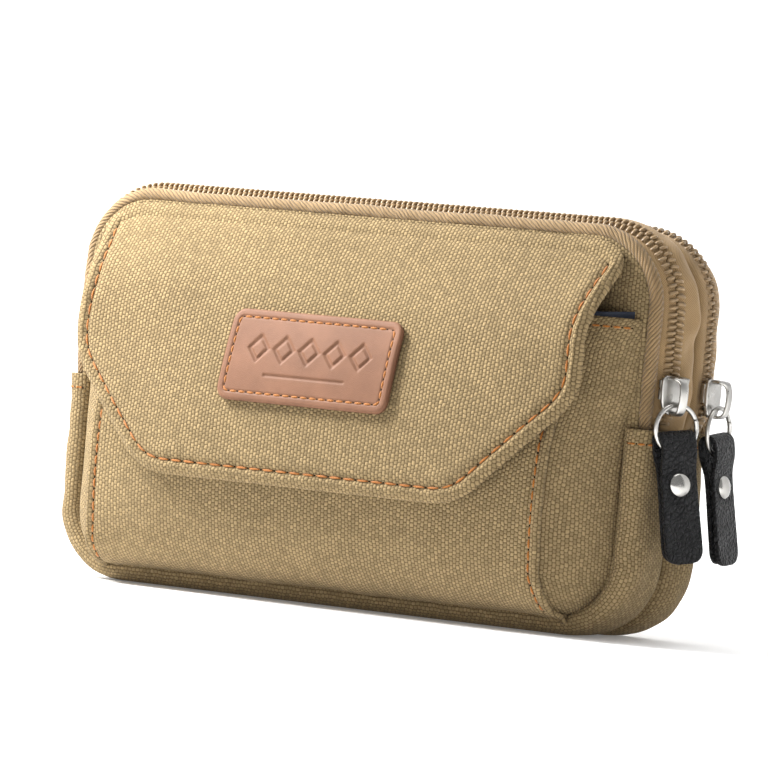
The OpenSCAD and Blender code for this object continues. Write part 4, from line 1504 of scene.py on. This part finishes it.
class POUCH_OT_pulls(PieceOperator, bpy.types.Operator):
    """Wire rings, folded leather pulls and their rivets"""

    bl_idname = "pouch.pulls"
    bl_label = "Rings and pulls"

    def build(self, context):
        for which in ("front", "rear"):
            matrix = slider_frame(which)
            ring = self.ring(which)
            settle(placed(ring, matrix), which + "_ring", "slider_nickel", which + "_pull_ring")
            pivot = Matrix.Translation(Vector((WINDOW_N, 0, RING_HINGE_Z - PIVOT_DROP)) * MM)
            turn = Matrix.Rotation(math.radians(PULL_TURN), 4, "X")
            hang = matrix @ pivot @ turn @ Matrix.Rotation(-math.radians(PULL_LEAN), 4, "Y")
            leather = self.leather(which)
            settle(placed(leather, hang), which + "_pull", "pull_leather", which + "_pull_leather")
            rivet = self.rivet(which)
            settle(placed(rivet, hang), which + "_pull", "rivet_nickel", which + "_pull_rivet")

    def ring(self, which):
        """A ring of wire, bent round until its ends meet."""
        count, sides, wire, gap, gap_angle = 120, 14, 0.6, 0.02, 1.1
        a = np.linspace(gap, 2 * math.pi - gap, count) + gap_angle
        centre = np.stack([WINDOW_N + 0.06 * np.cos(a / 2), RING_R * np.sin(a),
                           RING_HINGE_Z - RING_R + RING_R * np.cos(a)], 1)
        return grid_object(which + "_pull_ring_wire", tube_points(centre, wire, sides), no_uv(count, sides),
                           "slider_nickel", close_cols=True, caps=True)

    def leather(self, which):
        """A strip folded over the ring: both ends hang down together, held by the rivet."""
        t = 1.3
        n0 = t / 2 + 0.08
        loop_r = 1.4 + t / 2
        arc = [(loop_r * math.cos(a), 1.4 + loop_r * math.sin(a)) for a in np.linspace(math.pi, 0, 15)]
        back = [(-n0, -PULL_DROP + 0.5), (-n0, -18.0), (-n0, -7.0), (-n0 - 0.5, -4.4), (-loop_r, -1.6)]
        front = [(loop_r, -1.6), (n0 + 0.5, -4.4), (n0, -7.0), (n0, -18.0), (n0 + 0.15, -PULL_DROP)]
        path = resample(rounded_run(np.array(back + arc + front), 2), 190)
        out = path_sides(path)
        s = run_lengths(path)
        from_end = np.minimum(s, s[-1] - s)
        corner = 3.4
        chord = np.sqrt(np.maximum(corner ** 2 - (corner - from_end) ** 2, 0))
        round_end = np.where(from_end < corner, corner - chord, 0)
        half = PULL_W / 2 + 0.35 * smooth(-path[:, 1] / 25.0) - round_end
        edge = 0.42
        angles = np.linspace(0, math.pi / 2, 5)
        corner_pts = [(edge * math.cos(a), edge * math.sin(a)) for a in angles]
        across = 9
        rows = []
        for p, n, h in zip(path, out, half):
            h = max(h, edge + 0.05)
            top = [(h - edge + c, t / 2 - edge + k) for c, k in corner_pts]
            face = [(w, t / 2) for w in np.linspace(h - edge, -h + edge, across)[1:-1]]
            ring = top + face + [(-c, k) for c, k in top[::-1]]
            ring = ring + [(w, -k) for w, k in ring[::-1]]
            ring = np.array(ring)
            rows.append(np.stack([p[0] + n[0] * ring[:, 1], ring[:, 0], p[1] + n[1] * ring[:, 1]], 1))
        points = np.array(rows)
        return grid_object(which + "_pull_leather_fold", points, no_uv(*points.shape[:2]), "pull_leather",
                           close_cols=True, caps=True)

    def rivet(self, which):
        """Two domed caps and the post between them."""
        z, face, post, sides = -9.4, 1.45, 1.2, 40
        rim = [(2.9, 0.18), (3.0, 0.0), (2.85, -0.1), (post, -0.1)]
        high_dome = [(0.01, 1.05), (0.8, 1.0), (1.7, 0.82), (2.5, 0.48)] + rim
        low_dome = [(0.01, 0.72), (0.8, 0.7), (1.7, 0.6), (2.5, 0.4)] + rim
        profile = [(r, face + h) for r, h in high_dome] + [(r, -face - h) for r, h in low_dome[::-1]]
        profile = np.array(profile)
        a = np.linspace(0, 2 * math.pi, sides, endpoint=False)
        outwards = np.broadcast_to(profile[:, 1:], (len(profile), sides))
        points = np.stack([outwards, profile[:, :1] * np.cos(a), z + profile[:, :1] * np.sin(a)], -1)
        return grid_object(which + "_pull_rivet_caps", points, no_uv(len(profile), sides), "rivet_nickel",
                           close_cols=True, caps=True)


# ---------------------------------------------------------------- stage

class POUCH_OT_stage(PieceOperator, bpy.types.Operator):
    """Pale floor, soft lights and the camera"""

    bl_idname = "pouch.stage"
    bl_label = "Stage"

    def build(self, context):
        self.floor()
        self.sun("key", (-0.72, -0.31, 0.66), softness=15.0, strength=4.3)
        self.softbox((-0.74, -0.36, 0.80), distance=0.31, side=0.09, power=2.1)
        self.sun("top", (0.0, 0.1, 1.0), softness=50.0, strength=1.4)
        world = bpy.data.worlds.new("studio")
        world.use_nodes = True
        background = world.node_tree.nodes["Background"]
        background.inputs["Color"].default_value = (1, 1, 1, 1)
        background.inputs["Strength"].default_value = 0.36
        context.scene.world = world
        context.scene.view_settings.view_transform = "Standard"
        self.camera(context)

    def floor_material(self):
        """Pale paper that glows a little, so that it stays white behind the pouch."""
        s = Shader("floor")
        grain = s.noise(s.place(), 40.0)
        base = s.mix(grain, shade(colours().floor, 0.985), colours().floor)
        return s.finish(base, 0.6, Specular_IOR_Level=0.2, Emission_Color=(1, 1, 1, 1),
                        Emission_Strength=0.14)

    def floor(self):
        """A flat floor that bends up into a wall far behind the pouch. In metres."""
        reach, bend, flat = 12.0, 1.5, 1.2
        curve = [(flat + bend * math.sin(a), bend * (1 - math.cos(a)))
                 for a in np.linspace(0, math.pi / 2, 30)]
        level = [(y, 0.0) for y in np.linspace(-reach, flat, 29)]
        profile = np.array(level + curve + [(flat + bend, reach)])
        x = np.linspace(-reach, reach, 24)
        points = np.array([[(xx, y, z) for y, z in profile] for xx in x]) / MM
        floor = grid_object("studio_floor", points, np.zeros((*points.shape[:2], 2)), "canvas")
        floor.data.materials.clear()
        floor.data.materials.append(self.floor_material())

    def light(self, data, location, towards):
        """Puts a lamp at a place, so that it shines from the direction given."""
        obj = bpy.data.objects.new(data.name, data)
        obj.location = location
        obj.rotation_euler = towards.to_track_quat("Z", "Y").to_euler()
        bpy.context.scene.collection.objects.link(obj)

    def sun(self, name, towards, softness, strength):
        data = bpy.data.lights.new(name, "SUN")
        data.angle = math.radians(softness)
        data.energy = strength
        self.light(data, Vector(towards), Vector(towards))

    def softbox(self, towards, distance, side, power):
        """A square lamp near the pouch, so that its light fades across the front."""
        data = bpy.data.lights.new("softbox", "AREA")
        data.size = side
        data.energy = power
        direction = Vector(towards).normalized()
        self.light(data, Vector((0, 0, TOP * MM / 2)) + direction * distance, direction)

    def camera(self, context):
        azimuth, elevation, roll = (math.radians(angle) for angle in (31.0, 1.0, 5.2))
        distance, aim_height = 1.40, 0.05
        back = Vector((math.sin(azimuth) * math.cos(elevation), -math.cos(azimuth) * math.cos(elevation),
                       math.sin(elevation)))
        data = bpy.data.cameras.new("camera")
        data.sensor_width = 36.0
        data.lens = 255.0
        data.shift_x = 0.016
        data.shift_y = 0.037
        data.clip_end = 20.0
        obj = bpy.data.objects.new("camera", data)
        obj.location = Vector((0, 0, aim_height)) + back * distance
        aim = (-back).to_track_quat("-Z", "Y").to_matrix().to_4x4()
        obj.matrix_world = Matrix.Translation(obj.location) @ aim @ Matrix.Rotation(roll, 4, "Z")
        bpy.context.scene.collection.objects.link(obj)
        context.scene.camera = obj


# ---------------------------------------------------------------- panel and registration

OPERATORS = [
    POUCH_OT_panels, POUCH_OT_linings, POUCH_OT_gussets, POUCH_OT_pipings, POUCH_OT_tapes, POUCH_OT_coils,
    POUCH_OT_pocket, POUCH_OT_flap, POUCH_OT_label, POUCH_OT_belt_loops, POUCH_OT_sliders, POUCH_OT_pulls,
    POUCH_OT_stage,
]


class POUCH_PT_sidebar(bpy.types.Panel):
    """Lists the pouch's pieces, sizes and colours"""

    bl_label = "Canvas Belt Pouch"
    bl_idname = "POUCH_PT_sidebar"
    bl_space_type = "VIEW_3D"
    bl_region_type = "UI"
    bl_category = "Pouch"

    def draw(self, context):
        column = self.layout.column(align=True)
        for operator in OPERATORS:
            column.operator(operator.bl_idname, text=operator.bl_label)
        for group in (sizes(), colours()):
            box = self.layout.box()
            for name in group.__annotations__:
                box.prop(group, name)


def register():
    for cls in (PouchSizes, PouchColours, *OPERATORS, POUCH_PT_sidebar):
        bpy.utils.register_class(cls)
    bpy.types.Scene.pouch_sizes = PointerProperty(type=PouchSizes)
    bpy.types.Scene.pouch_colours = PointerProperty(type=PouchColours)


def unregister():
    del bpy.types.Scene.pouch_colours
    del bpy.types.Scene.pouch_sizes
    for cls in reversed((PouchSizes, PouchColours, *OPERATORS, POUCH_PT_sidebar)):
        bpy.utils.unregister_class(cls)


def main():
    register()
    for operator in OPERATORS:
        group, name = operator.bl_idname.split(".")
        getattr(getattr(bpy.ops, group), name)()


if __name__ == "__main__":
    main()
